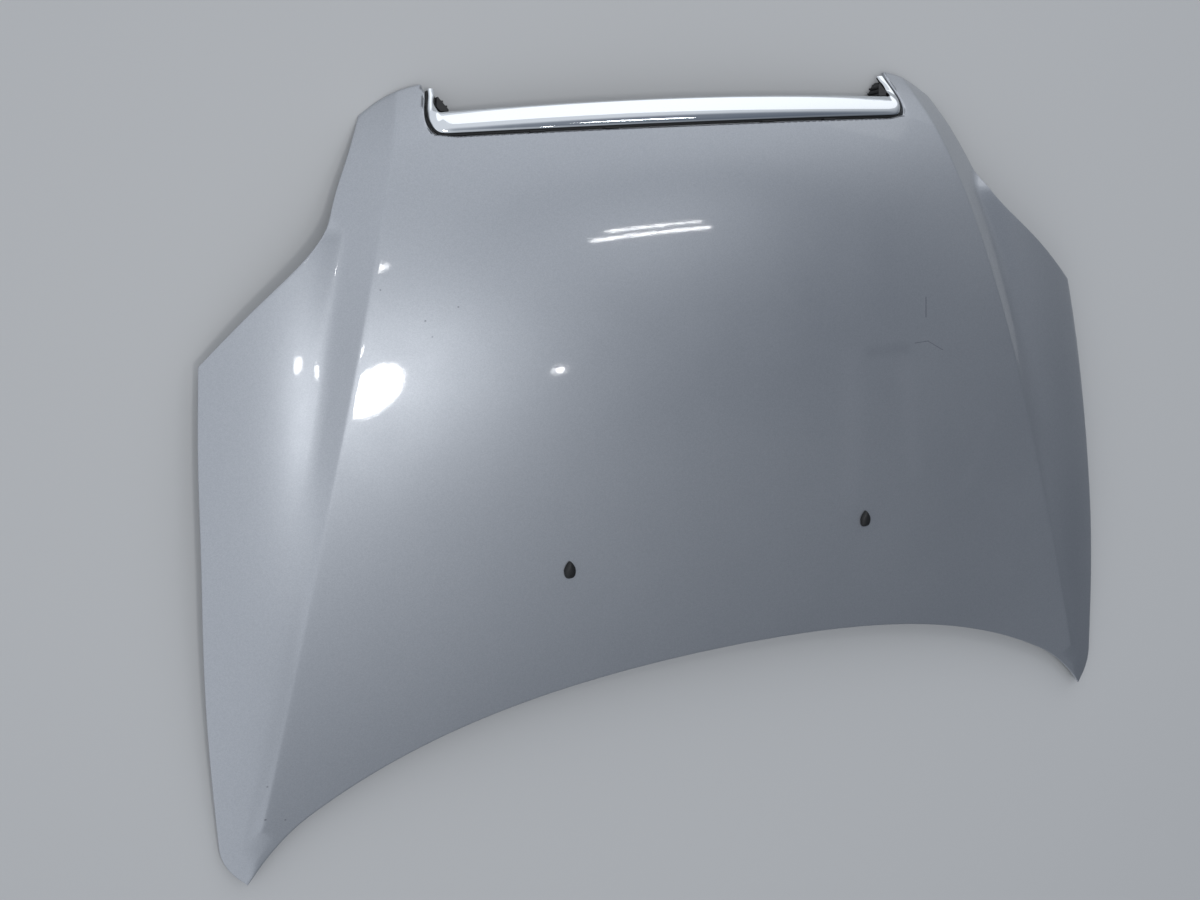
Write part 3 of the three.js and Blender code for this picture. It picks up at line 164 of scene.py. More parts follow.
def endTree(tree, shape, finish):
    real = addNode(tree, "GeometryNodeRealizeInstances", {"Geometry": shape})
    painted = addNode(tree, "GeometryNodeSetMaterial", {"Geometry": real[0], "Material": finish})
    tree.links.new(painted[0], tree.nodes.new("NodeGroupOutput").inputs[0])


def carrierMesh(name, points, vectors):  # points with their own vectors, for a tree to build on
    mesh = bpy.data.meshes.new(name)
    mesh.from_pydata([tuple(p) for p in points], [], [])
    for label, values in vectors.items():
        layer = mesh.attributes.new(label, "FLOAT_VECTOR", "POINT")
        for k, value in enumerate(values):
            layer.data[k].vector = value
    return mesh


def grown(name, carrier, tree, sizes, finish, sharpAngle=35):  # runs the tree once and keeps the plain mesh
    piece = bpy.data.objects.new(name, carrier)
    scene.collection.objects.link(piece)
    work = piece.modifiers.new("grow", "NODES")
    work.node_group = tree
    for item in tree.interface.items_tree:
        if item.item_type == "SOCKET" and item.in_out == "INPUT":
            if item.name in sizes:
                work[item.identifier] = sizes[item.name]
            elif item.name == "Finish":
                work[item.identifier] = finish
    evaluated = piece.evaluated_get(bpy.context.evaluated_depsgraph_get())
    mesh = bpy.data.meshes.new_from_object(evaluated)
    piece.modifiers.remove(work)
    for layer in [a for a in mesh.attributes if a.name in ("turn", "reach", "outward")]:
        mesh.attributes.remove(layer)
    mesh.name = name
    piece.data = mesh
    mesh.shade_smooth()
    mesh.set_sharp_from_angle(angle=math.radians(sharpAngle))
    return piece


# The skin's surface, as the part is drawn
skinForm = {
    "crown": ([0, 200, 400, 600, 800, 900, 960], [-12.8, 44.3, 82.7, 104.5, 100, 81.3, 60.8]),
    "cross": (10.14e-5, 10.66e-5, 2.57e-5), "crossMiddle": 500,
    "creaseMiddle": (521, 606), "creaseTaper": 0.29, "creaseBend": 5e-5,
    "flankNose": 0.6, "flankRear": 0.32,
    "wingOrigin": (600, 500, 52.7), "wingSlope": (-0.1485, -0.0041),
    "wingCurve": (-14.83e-4, -3.5e-4, -1.98e-4), "wingLampDrop": (842, 0.6),
    "valleyRound": 4, "valleyWidth": 28,
    "cutY": 951, "cutCorner": (361, 954.5), "ridgeRearY": 936, "ridgeCreaseX": 420,
    "hornFall": (0.46, 0.0025),
}
crownAt = curveThrough(*skinForm["crown"])
sideAt = curveThrough([58, 208, 306, 447, 583, 687], [730, 728, 723, 711, 699, 686])
lampAt = curveThrough([687, 760, 822, 850, 880, 925, 987], [686, 603, 531, 510, 497, 476, 446.5])
legAt = curveThrough([954.5, 963, 974, 992, 1012, 1023.4], [361, 366.5, 368.5, 365.5, 359.5, 358])


def creaseAt(y):
    ahead = y - skinForm["creaseMiddle"][1]
    return skinForm["creaseMiddle"][0] - skinForm["creaseTaper"] * ahead - skinForm["creaseBend"] * max(0, ahead) ** 2


def ridgeAt(x):
    slope = (skinForm["cutCorner"][1] - skinForm["ridgeRearY"]) / (skinForm["ridgeCreaseX"] - skinForm["cutCorner"][0])
    return skinForm["ridgeRearY"] + (skinForm["ridgeCreaseX"] - x) * slope


def mainAt(x, y):
    v = (y - skinForm["crossMiddle"]) / skinForm["crossMiddle"]
    flat, gain, fade = skinForm["cross"]
    return crownAt(y) - (flat + gain * v - fade * v * v) * x * x


def raisedAt(x, y):
    ridge = ridgeAt(x)
    if x < skinForm["cutCorner"][0] - 12 or y <= ridge:
        return mainAt(x, y)
    v = y - ridge
    return mainAt(x, ridge) - skinForm["hornFall"][0] * v - skinForm["hornFall"][1] * v * v


def wingAt(x, y):
    ox, oy, oz = skinForm["wingOrigin"]
    dx, dy = x - ox, y - oy
    cx, cxy, cy = skinForm["wingCurve"]
    sx, sy = skinForm["wingSlope"]
    drop = skinForm["wingLampDrop"][1] * softMax(0, y - skinForm["wingLampDrop"][0], 8)
    return oz + sx * dx + sy * dy + cx * dx * dx + cxy * dx * dy + cy * dy * dy - drop


def sharpSkinAt(signedX, y):
    x = abs(signedX)
    crease = creaseAt(y)
    out = x - crease
    if out <= 0:
        return raisedAt(x, y)
    slope = mix(skinForm["flankRear"], skinForm["flankNose"], ease((y - 450) / 200))
    flank = raisedAt(crease, y) - slope * out
    round_ = skinForm["valleyRound"] * min(1, out / 20)
    return softMin(mainAt(x, min(y, skinForm["ridgeRearY"])), softMax(flank, wingAt(x, y), round_), round_ / 2)


pressRadius = {"crease": 3.2, "ridge": 2.6}  # how far the press rounds the crease and the step, in mm


def skinAt(x, y):
    if abs(abs(x) - creaseAt(y)) < 9 or (340 < abs(x) < 430 and abs(y - ridgeAt(abs(x))) < 7):
        r = pressRadius["crease"]
        q = pressRadius["ridge"]
        spots = [(-r, 0), (-r / 2, 0), (0, 0), (r / 2, 0), (r, 0), (0, -q), (0, q)]
        return sum(sharpSkinAt(x + dx, y + dy) for dx, dy in spots) / len(spots)
    return sharpSkinAt(x, y)


def upNormal(x, y, step=0.8):
    dx = (skinAt(x + step, y) - skinAt(x - step, y)) / (2 * step)
    dy = (skinAt(x, y + step) - skinAt(x, y - step)) / (2 * step)
    return Vector((-dx, -dy, 1)).normalized()


# Outline and plan grid of the skin
outlineForm = {
    "rearMiddle": 203.6, "rearBow": (73.1, 48.2, -3.8), "rearBowWidth": 600, "rearTipStart": 612,
    "tip": 700, "widestY": 58, "widest": 730, "lampCorner": 687, "hornCorner": 987,
    "hornTip": (360.5, 1023.4), "hornFall": (0.1, 0.0038),
    "hemGrip": 13, "sideHemY": 15, "rearHemCorner": 701.6,
    "columns": [0, 0.2, 0.4, 0.58, 0.76, 0.9, 0.967],
    "rows": [0, 0.05, 0.12, 0.19, 0.27, 0.35, 0.43, 0.51, 0.59, 0.67, 0.745, 0.81, 0.87, 0.905, 0.94, 0.97, 1],
    "rearEdge": [0, 0.32, 0.55, 0.72, 0.86, 1], "rearHem": [0, 0.4, 0.66, 0.85, 1],
    "hornRows": [0, 0.33, 0.67, 1],
}
of = outlineForm
legColumn, creaseColumn, edgeColumn = 7, 9, 13
frontRow, cutRow, topRow = 17, 18, 22


def rearEdgeAt(x):
    bow = lambda a: of["rearBow"][0] * a + of["rearBow"][1] * a * a + of["rearBow"][2] * a ** 3
    tipY = of["rearMiddle"] - bow((of["tip"] / of["rearBowWidth"]) ** 2)
    t = max(0, (x - of["rearTipStart"]) / (of["tip"] - of["rearTipStart"]))
    return of["rearMiddle"] - bow((x / of["rearBowWidth"]) ** 2) - tipY * t * t


def outerEdgeAt(y):
    if y < of["widestY"]:
        return of["widest"] - (of["widest"] - of["tip"]) * max(0, 1 - y / of["widestY"]) ** 2.2
    return sideAt(y) if y < of["lampCorner"] else lampAt(y)


def hornFrontAt(x):
    out = x - of["hornTip"][0]
    return of["hornTip"][1] - of["hornFall"][0] * out - of["hornFall"][1] * out * out


def slopeOf(curve, t):
    return curve(t + 0.5) - curve(t - 0.5)


def hemmedEdgeAt(y):
    grip = lambda curve: curve(y) - of["hemGrip"] * math.hypot(1, slopeOf(curve, y))
    if y < of["widestY"]:
        return grip(outerEdgeAt)
    if y < of["lampCorner"] - 40:
        return grip(sideAt)
    return grip(lampAt) if y > of["lampCorner"] else min(grip(sideAt), grip(lampAt))


def legLineAt(y):
    cornerX, cornerY = skinForm["cutCorner"]
    return legAt(y) if y >= cornerY else cornerX * creaseAt(y) / creaseAt(cornerY)


def columnLine(c, y):
    leg = legLineAt(y)
    if c < legColumn:
        return of["columns"][c] * leg
    if c == legColumn:
        return leg
    crease = creaseAt(y)
    if c == legColumn + 1:
        return leg + mix((crease - leg) * 0.5, of["hemGrip"], ease((y - 760) / 176))
    if c == creaseColumn:
        return crease
    hem = hemmedEdgeAt(y)
    valley = crease + min(skinForm["valleyWidth"], 0.42 * (hem - crease))
    if c == creaseColumn + 1:
        return valley
    if c == creaseColumn + 2:
        return mix(valley, hem, 0.5)
    return hem if c < edgeColumn else outerEdgeAt(y)


def columnX(c, y):
    low = min(int(c), edgeColumn - 1)
    return mix(columnLine(low, y), columnLine(low + 1, y), c - low)


def settle(c, rowY, guess):
    y = guess
    for _ in range(60):
        y = mix(y, rowY(columnX(c, y)), 0.7)
    return columnX(c, y), y


def between(shares, t):
    low = min(int(t), len(shares) - 2)
    return mix(shares[low], shares[low + 1], t - low)


def cutRowY(x):
    cornerX, cornerY = skinForm["cutCorner"]
    if x <= cornerX:
        return skinForm["cutY"] + (cornerY - skinForm["cutY"]) * ease((x - 330) / (cornerX - 330))
    past = x - skinForm["ridgeCreaseX"]
    return ridgeAt(x) if past < 0 else skinForm["ridgeRearY"] - 0.1 * past


def rearHemY(x):
    at = min(x, of["tip"] - 8)
    return max(0, rearEdgeAt(min(x, of["tip"]))) + of["hemGrip"] * math.hypot(1, slopeOf(rearEdgeAt, at))


def hornHemY(x):
    return hornFrontAt(x) - of["hemGrip"] * math.hypot(1, slopeOf(hornFrontAt, x))


@lru_cache(maxsize=None)
def rowLine(row, c):  # plan point on one of the rows that the outline sets
    last = creaseColumn - 1
    if row == 0:
        if c <= last:
            return settle(c, rearEdgeAt, 120)
        x = mix(rowLine(0, last)[0], of["tip"], between(of["rearEdge"], c - last))
        return x, rearEdgeAt(x)
    if row == 1:
        if c <= last:
            return settle(c, rearHemY, 140)
        if c > edgeColumn - 1:
            low = rowLine(1, edgeColumn - 1)
            t = c - (edgeColumn - 1)
            return mixPair(low, (outerEdgeAt(of["sideHemY"]), of["sideHemY"]), t)
        x = mix(rowLine(1, last)[0], of["rearHemCorner"], between(of["rearHem"], c - last))
        return x, rearHemY(x)
    if row == frontRow:
        return settle(c, lambda x: cutRowY(x) - of["hemGrip"], 930)
    if row == cutRow:
        return skinForm["cutCorner"] if c == legColumn else settle(c, cutRowY, 940)
    if row == "hornHem":
        return settle(c, hornHemY, 985)
    if c == legColumn:
        return of["hornTip"]
    if c == edgeColumn:
        return outerEdgeAt(of["hornCorner"]), of["hornCorner"]
    if legColumn < c < legColumn + 1:
        x = mix(of["hornTip"][0], rowLine(topRow, legColumn + 1)[0], c - legColumn)
        return x, hornFrontAt(x)
    if c > edgeColumn - 1:
        low, high = rowLine(topRow, edgeColumn - 1), rowLine(topRow, edgeColumn)
        return mixPair(low, high, c - edgeColumn + 1)
    return settle(c, hornFrontAt, 1000)


def planPoint(r, c):
    if r <= 1:
        return mixPair(rowLine(0, c), rowLine(1, c), r)
    if r <= frontRow:
        low, high = rowLine(1, c)[1], rowLine(frontRow, c)[1]
        shares = list(of["rows"])
        edgeLow, edgeHigh = of["sideHemY"], rowLine(frontRow, edgeColumn)[1]
        shares[10] = (of["lampCorner"] - edgeLow) / (edgeHigh - edgeLow)
        y = mix(low, high, between(shares, r - 1))
        return columnX(c, y), y
    if r <= cutRow:
        return mixPair(rowLine(frontRow, c), rowLine(cutRow, c), r - frontRow)
    if r <= topRow - 1:
        y = mix(rowLine(cutRow, c)[1], rowLine("hornHem", c)[1], between(of["hornRows"], r - cutRow))
        return columnX(c, y), y
    return mixPair(planPoint(topRow - 1, c), rowLine(topRow, c), r - topRow + 1)


# Outer skin
skinDetail = {
    "rowSteps": {0: [0, 0.25, 0.55], 17: [0, 0.3, 0.55, 0.8, 0.93], 18: [0, 0.07, 0.18, 0.4, 0.7], 21: [0, 0.35, 0.7]},
    "columnSteps": {7: [0, 0.2, 0.4, 0.6, 0.8], 8: [0, 0.25, 0.5, 0.75, 0.9, 0.96, 0.985],
                    9: [0, 0.05, 0.12, 0.25, 0.5, 0.75], 12: [0, 0.4, 0.75]},
    "rowCuts": 5, "columnCuts": 6, "gauge": 0.8,
    "hem": [(0.65, 0.17), (0.17, 0.65), (0, 1.3), (0, 2.35), (0.17, 3.0), (0.65, 3.48), (1.3, 3.65),
            (9.6, 3.65), (9.75, 3.25), (9.6, 2.85), (1.3, 2.85), (0.95, 2.4), (0.8, 1.6)],
    "turned": [(1.25, 0.33), (0.33, 1.25), (0, 2.5), (0.05, 5), (0.1, 8), (0.12, 11.5), (0.3, 12),
               (0.7, 12), (0.9, 11.6), (0.85, 8), (0.8, 5), (0.8, 2.5), (1.1, 1.5)],
    "edgeInset": {False: 1.3, True: 2.5},
}


def fineSteps(count, special, cuts):
    steps = []
    for k in range(count):
        parts = special.get(k, [i / cuts for i in range(cuts)])
        steps += [k + p for p in parts]
    return steps + [count]


def buildSkin():
    rows = fineSteps(topRow, skinDetail["rowSteps"], skinDetail["rowCuts"])
    columns = fineSteps(edgeColumn, skinDetail["columnSteps"], skinDetail["columnCuts"])
    signed = [-c for c in reversed(columns[1:])] + columns
    index = {}
    plan = []
    for i, r in enumerate(rows):
        for j, c in enumerate(signed):
            if r > cutRow and abs(c) < legColumn:
                continue
            x, y = planPoint(r, abs(c))
            index[i, j] = len(plan)
            plan.append((x if c >= 0 else -x, y, r, c))
    quads = []
    for i in range(len(rows) - 1):
        for j in range(len(signed) - 1):
            keys = [(i, j), (i, j + 1), (i + 1, j + 1), (i + 1, j)]
            if rows[i] >= cutRow and (abs(signed[j]) < legColumn or abs(signed[j + 1]) < legColumn):
                continue
            if all(k in index for k in keys):
                quads.append([index[k] for k in keys])
    after = {}
    for quad in quads:
        for a, b in zip(quad, quad[1:] + quad[:1]):
            after.setdefault(a, set()).add(b)
    edges = {a: b for a, outs in after.items() for b in outs if a not in after.get(b, ())}
    start = next(iter(edges))
    rim = [start]
    while edges[rim[-1]] != start:
        rim.append(edges[rim[-1]])
    outline = [plan[v][:2] for v in rim]
    inward = {}
    for k, v in enumerate(rim):
        before, at, ahead = outline[k - 1], outline[k], outline[(k + 1) % len(rim)]
        first = Vector((before[1] - at[1], at[0] - before[0])).normalized()
        second = Vector((at[1] - ahead[1], ahead[0] - at[0])).normalized()
        way = (first + second).normalized()
        inward[v] = way / max(0.6, way.dot(first))

    def isTurned(v):
        _, _, r, c = plan[v]
        return (r == cutRow and abs(c) <= legColumn) or (r > cutRow and abs(c) == legColumn)

    def atDepth(x, y, depth, nx=None, ny=None):
        n = upNormal(x if nx is None else nx, y if ny is None else ny)
        return x - n.x * depth, y - n.y * depth, skinAt(x, y) - n.z * depth

    def onRim(v, inset, depth):
        x, y = plan[v][:2]
        way = inward[v]
        return atDepth(x + way.x * inset, y + way.y * inset, depth, x + way.x * 6, y + way.y * 6)

    points = []
    inner = {}
    for depth in (0, skinDetail["gauge"]):  # the outer face first, then the inner one
        for v, (x, y, _, _) in enumerate(plan):
            inner[v] = len(points)
            inset = skinDetail["edgeInset"][isTurned(v)]
            points.append(onRim(v, inset, depth) if v in inward else atDepth(x, y, depth))
    faces = [list(q) for q in quads] + [[inner[v] for v in reversed(q)] for q in quads]
    loops = [list(rim)]
    for k in range(len(skinDetail["hem"])):
        loops.append([])
        for v in rim:
            inset, depth = skinDetail["turned" if isTurned(v) else "hem"][k]
            loops[-1].append(len(points))
            points.append(onRim(v, inset, depth))
    loops.append([inner[v] for v in rim])
    for above, below in zip(loops, loops[1:]):
        for k in range(len(rim)):
            m = (k + 1) % len(rim)
            faces.append([above[m], above[k], below[k], below[m]])
    return newPiece("bonnet_skin", placed(points), faces), outline


skin, outline = buildSkin()
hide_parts("outer_panel")
print("skin:", len(skin.data.polygons), "faces")


# Pressed frame below the skin
frameForm = {
    "cell": 6.0, "seat": 1.15, "gauge": 0.7, "edge": 1.3, "rim": 13, "rampEnd": 31, "depth": 23, "floor": -12,
    "land": 4.6, "landWidth": 12, "ramp": 13, "round": 22, "padRound": 9, "padRamp": 8,
    "windows": [
        [(-146, 602), (146, 602), (72, 815), (-72, 815)],
        [(-138, 272), (138, 272), (122, 532), (-122, 532)],
    ],
    "sideWindows": [
        [(222, 602), (424, 612), (362, 815), (146, 815)],
        [(214, 268), (420, 238), (520, 372), (452, 542), (200, 532)],
        [(596, 436), (644, 436), (622, 652), (558, 652)],
    ],
    # middle, size, turn, depth below the skin
    "pads": [((620, 196), (44, 112), 0.12, 26), ((-620, 196), (44, 112), -0.12, 26),
             ((300, 878), (38, 38), 0, 26), ((-300, 878), (38, 38), 0, 26), ((0, 882), (116, 40), 0, 27),
             ((-560, 300), (30, 30), 0, 25.5), ((120, 892), (26, 30), 0, 27), ((-120, 892), (26, 30), 0, 27),
             ((225, 892), (26, 30), 0, 27), ((-225, 892), (26, 30), 0, 27)],
}


def polygonDistance(px, py, corners):  # positive outside, negative inside a loop that runs anticlockwise
    least = np.full(px.shape, 1e9)
    inside = np.zeros(px.shape, bool)
    n = len(corners)
    for i in range(n):
        (ax, ay), (bx, by) = corners[i], corners[(i + 1) % n]
        ux, uy = bx - ax, by - ay
        t = np.clip(((px - ax) * ux + (py - ay) * uy) / (ux * ux + uy * uy), 0, 1)
        least = np.minimum(least, np.hypot(px - ax - t * ux, py - ay - t * uy))
        crossing = (ay > py) != (by > py)
        if uy != 0:
            inside ^= crossing & (px < ux * (py - ay) / uy + ax)
    return np.where(inside, -least, least)


def shrunk(corners, by):  # the loop moved inwards, so that its rounded offset meets the drawn lines
    n = len(corners)
    moved = []
    for i in range(n):
        (px, py), (x, y), (nx, ny) = corners[i - 1], corners[i], corners[(i + 1) % n]
        a = Vector((py - y, x - px)).normalized()
        b = Vector((y - ny, nx - x)).normalized()
        way = (a + b).normalized()
        reach = by / way.dot(a)
        moved.append((x + way.x * reach, y + way.y * reach))
    return moved


def padPlane(middle, drop):
    x, y = middle
    dx = (sharpSkinAt(x + 20, y) - sharpSkinAt(x - 20, y)) / 40
    dy = (sharpSkinAt(x, y + 20) - sharpSkinAt(x, y - 20)) / 40
    return sharpSkinAt(x, y) - drop, dx, dy


def rampShape(t):  # a press leaves a radius at the top and the foot of each wall
    t = np.clip(t, 0, 1)
    return t * t * (3 - 2 * t)


def buildFrame():
    ff = frameForm
    cell = ff["cell"]
    xs = np.arange(-732, 732 + cell, cell)
    ys = np.arange(-2, 1026 + cell, cell)
    gx, gy = np.meshgrid(xs, ys)
    windows = ff["windows"] + ff["sideWindows"] + [[(-x, y) for x, y in reversed(w)] for w in ff["sideWindows"]]
    rounded = [shrunk(w, ff["round"]) for w in windows]
    coarse = outline[::2]

    def fields(px, py):
        edge = -polygonDistance(px, py, coarse)
        holes = [polygonDistance(px, py, w) - ff["round"] for w in rounded]
        return edge, holes

    def marginAt(px, py):
        edge, holes = fields(px, py)
        return np.minimum(edge - ff["edge"], np.min(holes, axis=0))

    margin = marginAt(gx, gy)
    near = np.abs(margin) < 0.55 * cell
    px, py = gx[near], gy[near]
    for _ in range(3):  # draw the near points on to the edge
        m = marginAt(px, py)
        sx = (marginAt(px + 0.3, py) - m) / 0.3
        sy = (marginAt(px, py + 0.3) - m) / 0.3
        size = np.maximum(0.25, sx * sx + sy * sy)
        px, py = px - m * sx / size, py - m * sy / size
    gx[near], gy[near] = px, py
    good = near | (margin > 0)

    edge, holes = fields(gx, gy)
    depth = mix(ff["seat"], ff["depth"], rampShape((edge - ff["rim"]) / (ff["rampEnd"] - ff["rim"])))
    for sd in holes:
        depth = np.minimum(depth, mix(ff["land"], ff["depth"], rampShape((sd - ff["landWidth"]) / ff["ramp"])))
    index = -np.ones(gx.shape, int)
    where = np.argwhere(good)
    points = np.zeros((len(where), 3))
    for k, (i, j) in enumerate(where):
        index[i, j] = k
        x, y, d = gx[i, j], gy[i, j], depth[i, j]
        top = sharpSkinAt(x, y)
        z = top - d
        if d > ff["depth"] * 0.5:
            z = softMax(z, ff["floor"], 4)
        n = upNormal(x, y)
        lean = ff["seat"] if d <= ff["seat"] + 0.01 else 0
        points[k] = (x - n.x * lean, y - n.y * lean, z if not lean else top - n.z * lean)
    for middle, size, turn, drop in ff["pads"]:
        z0, dx, dy = padPlane(middle, drop)
        ux, uy = points[:, 0] - middle[0], points[:, 1] - middle[1]
        u = np.abs(ux * math.cos(turn) + uy * math.sin(turn)) - size[0] / 2 + ff["padRound"]
        v = np.abs(uy * math.cos(turn) - ux * math.sin(turn)) - size[1] / 2 + ff["padRound"]
        sd = np.hypot(np.maximum(u, 0), np.maximum(v, 0)) + np.minimum(np.maximum(u, v), 0) - ff["padRound"]
        share = rampShape(sd / ff["padRamp"])
        inReach = sd < ff["padRamp"]
        flat = z0 + dx * ux + dy * uy
        points[inReach, 2] = mix(flat, points[:, 2], share)[inReach]
    faces = []
    for i in range(gx.shape[0] - 1):
        for j in range(gx.shape[1] - 1):
            corners = [index[i, j], index[i, j + 1], index[i + 1, j + 1], index[i + 1, j]]
            kept = [int(c) for c in corners if c >= 0]
            if len(kept) >= 3:
                faces.append(kept)
    sheet = newPiece("frame_pressing", placed(points), faces)
    wall = sheet.modifiers.new("gauge", "SOLIDIFY")
    wall.thickness = ff["gauge"] * mm
    wall.offset = -1
    return sheet


frameSheet = buildFrame()
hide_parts("inner_panel")
print("frame:", len(frameSheet.data.polygons), "faces")


# Chrome bar in the grille cut-out
trimForm = {
    "gap": 4.7, "gauge": 2.6, "topY": 990, "topBow": 6.4, "topZ": 48, "topFall": 22.3, "half": 348,
    "bulge": 3.2, "crest": 0.34, "legTop": 1016, "rowCuts": 5, "stations": 25,
}


def trimPairs():
    tf = trimForm
    half = []
    for t in (0, 0.25, 0.5, 0.75, 1):
        y = mix(tf["legTop"], 975, t)
        half.append(((legAt(y) - tf["gap"], y), (mix(345, 350.5, ease(t * 1.4)), mix(tf["legTop"], 988, t))))
    half.append(((361, 965), (350, 985.4)))
    half.append(((355.5, 958.4), (347, 983.9)))
    half.append(((346, 956), (340, 984)))
    for x in (325, 280, 230, 180, 125, 65):
        half.append(((x, skinForm["cutY"] + tf["gap"]), (x, tf["topY"] - tf["topBow"] * (x / tf["half"]) ** 2)))
    rows = []
    for (ox, oy), (x, y) in half:
        lip = Vector((ox, oy, raisedAt(ox, oy) - 0.6))
        barZ = tf["topZ"] - tf["topFall"] * (x / tf["half"]) ** 2
        z = mix(barZ, raisedAt(ox, y) - 3, ease((y - 984.5) / 8)) if y > 984.5 and x > 340 else barZ
        rows.append((lip, Vector((x, y, z))))
    middle = (Vector((0, skinForm["cutY"] + tf["gap"], mainAt(0, skinForm["cutY"] + tf["gap"]) - 0.6)),
              Vector((0, tf["topY"], tf["topZ"])))
    flip = lambda p: Vector((-p.x, p.y, p.z))
    return [(flip(a), flip(b)) for a, b in rows] + [middle] + list(reversed(rows))


def smoothThrough(points, cuts):  # Catmull-Rom between drawn rows
    fine = []
    for i in range(len(points) - 1):
        a, b = points[max(0, i - 1)], points[i]
        c, d = points[i + 1], points[min(len(points) - 1, i + 2)]
        for k in range(cuts):
            t = k / cuts
            fine.append(0.5 * ((2 * b) + (c - a) * t + (2 * a - 5 * b + 4 * c - d) * t * t
                               + (3 * b - a - 3 * c + d) * t ** 3))
    return fine + [points[-1]]


def barTree(sizes):  # a sheet with a ridge low down its face, drawn between two rails and thickened backwards
    tree, given = newTree("rolled_bar", sizes)
    rails = given["Geometry"]
    count = addNode(tree, "GeometryNodeAttributeDomainSize", {"component": "MESH", "Geometry": rails})
    sheet = addNode(tree, "GeometryNodeMeshGrid", {"Vertices X": count["Point Count"],
                                                   "Vertices Y": given["Stations"]})
    known = {"index": addNode(tree, "GeometryNodeInputIndex")[0], "stations": given["Stations"],
             "crest": given["Crest"], "gauge": given["Gauge"], "bulge": given["Bulge"]}

    def workOut(*steps):
        for name, operation, a, b in steps:
            values = {"operation": operation, 0: known.get(a, a), 1: known.get(b, b)}
            known[name] = addNode(tree, "ShaderNodeMath", values)[0]

    # which row of the rails a point belongs to, and how far up the face it is
    workOut(("row", "DIVIDE", "index", "stations"), ("rail", "FLOOR", "row", 0.0), ("step", "FRACT", "row", 0.0),
            ("last", "SUBTRACT", "stations", 1.0), ("stretch", "DIVIDE", "stations", "last"),
            ("even", "MULTIPLY", "step", "stretch"))
    known["s"] = addNode(tree, "ShaderNodeMapRange", {"interpolation_type": "SMOOTHSTEP", "Value": known["even"]})[0]
    found = {}
    for label in ("position", "reach", "outward"):
        value = (addNode(tree, "GeometryNodeInputPosition") if label == "position" else
                 addNode(tree, "GeometryNodeInputNamedAttribute", {"data_type": "FLOAT_VECTOR", "Name": label}))
        taken = {"data_type": "FLOAT_VECTOR", "Geometry": rails, "Value": value[0], "Index": known["rail"]}
        found[label] = addNode(tree, "GeometryNodeSampleIndex", taken)[0]
    known["width"] = addNode(tree, "ShaderNodeVectorMath", {"operation": "LENGTH", 0: found["reach"]})["Value"]
    # how far the face stands out: round to the crest, round back to the top edge, and both edges rolled in
    workOut(("rising", "DIVIDE", "s", "crest"), ("left", "SUBTRACT", 1.0, "s"), ("right", "SUBTRACT", 1.0, "crest"),
            ("falling", "DIVIDE", "left", "right"), ("side", "MINIMUM", "rising", "falling"),
            ("short", "SUBTRACT", 1.0, "side"), ("square", "POWER", "short", 2.0), ("arch", "SUBTRACT", 1.0, "square"),
            ("tenth", "MULTIPLY", "width", 0.1), ("swell", "MINIMUM", "bulge", "tenth"),
            ("stand", "MULTIPLY", "arch", "swell"), ("off", "SUBTRACT", "s", 0.5), ("apart", "ABSOLUTE", "off", 0.0),
            ("double", "MULTIPLY", "apart", 2.0), ("edge", "POWER", "double", 14.0),
            ("roll", "MULTIPLY", "gauge", 0.3), ("rolled", "MULTIPLY", "edge", "roll"),
            ("rise", "SUBTRACT", "stand", "rolled"))
    along = addNode(tree, "ShaderNodeVectorMath", {"operation": "SCALE", 0: found["reach"], "Scale": known["s"]})
    out = addNode(tree, "ShaderNodeVectorMath", {"operation": "SCALE", 0: found["outward"], "Scale": known["rise"]})
    first = addNode(tree, "ShaderNodeVectorMath", {"operation": "ADD", 0: found["position"], 1: along[0]})
    spot = addNode(tree, "ShaderNodeVectorMath", {"operation": "ADD", 0: first[0], 1: out[0]})
    face = addNode(tree, "GeometryNodeSetPosition", {"Geometry": sheet["Mesh"], "Position": spot[0]})
    back = addNode(tree, "GeometryNodeFlipFaces", {"Mesh": face[0]})
    thick = addNode(tree, "GeometryNodeExtrudeMesh", {"mode": "FACES", "Individual": False, "Mesh": back[0],
                                                      "Offset Scale": given["Gauge"]})
    both = addNode(tree, "GeometryNodeJoinGeometry", {"Geometry": [face[0], thick["Mesh"]]})
    closed = addNode(tree, "GeometryNodeMergeByDistance", {"Distance": 0.00001, "Geometry": both[0]})
    endTree(tree, closed[0], given["Finish"])
    return tree


def buildTrim(finish):
    tf = trimForm
    pairs = trimPairs()
    lips = smoothThrough([p[0] for p in pairs], tf["rowCuts"])
    tops = smoothThrough([p[1] for p in pairs], tf["rowCuts"])
    n = len(lips)
    outward = []
    for i in range(n):
        along = lips[min(n - 1, i + 1)] + tops[min(n - 1, i + 1)] - lips[max(0, i - 1)] - tops[max(0, i - 1)]
        outward.append(along.cross(tops[i] - lips[i]).normalized())
    rails = carrierMesh("bar_rails", placed(lips), {"reach": [(t - l) * mm for l, t in zip(lips, tops)],
                                                    "outward": outward})
    sizes = {**sizesOf(tf, "Bulge", "Gauge"), "Crest": tf["crest"], "Stations": tf["stations"]}
    bar = grown("chrome_bar", rails, barTree(sizes), sizes, finish)
    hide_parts("grille_trim")
    return bar


# Washer jets
jetForm = {"at": (238.3, 366), "width": 17, "length": 25, "height": 6.5, "lift": 0.35, "stem": 4.6,
           "stemEnd": 15, "clip": (8, 5), "barb": (2.6, 14), "clipTop": -1.5}


def jetPlace(side):
    x, y = side * jetForm["at"][0], jetForm["at"][1]
    normal = upNormal(x, y)
    along = Vector((0, 1, 0))
    along = (along - normal * along.dot(normal)).normalized()
    across = along.cross(normal)
    return Matrix.Translation((x, y, sharpSkinAt(x, y))) @ Matrix((across, along, normal)).transposed().to_4x4()


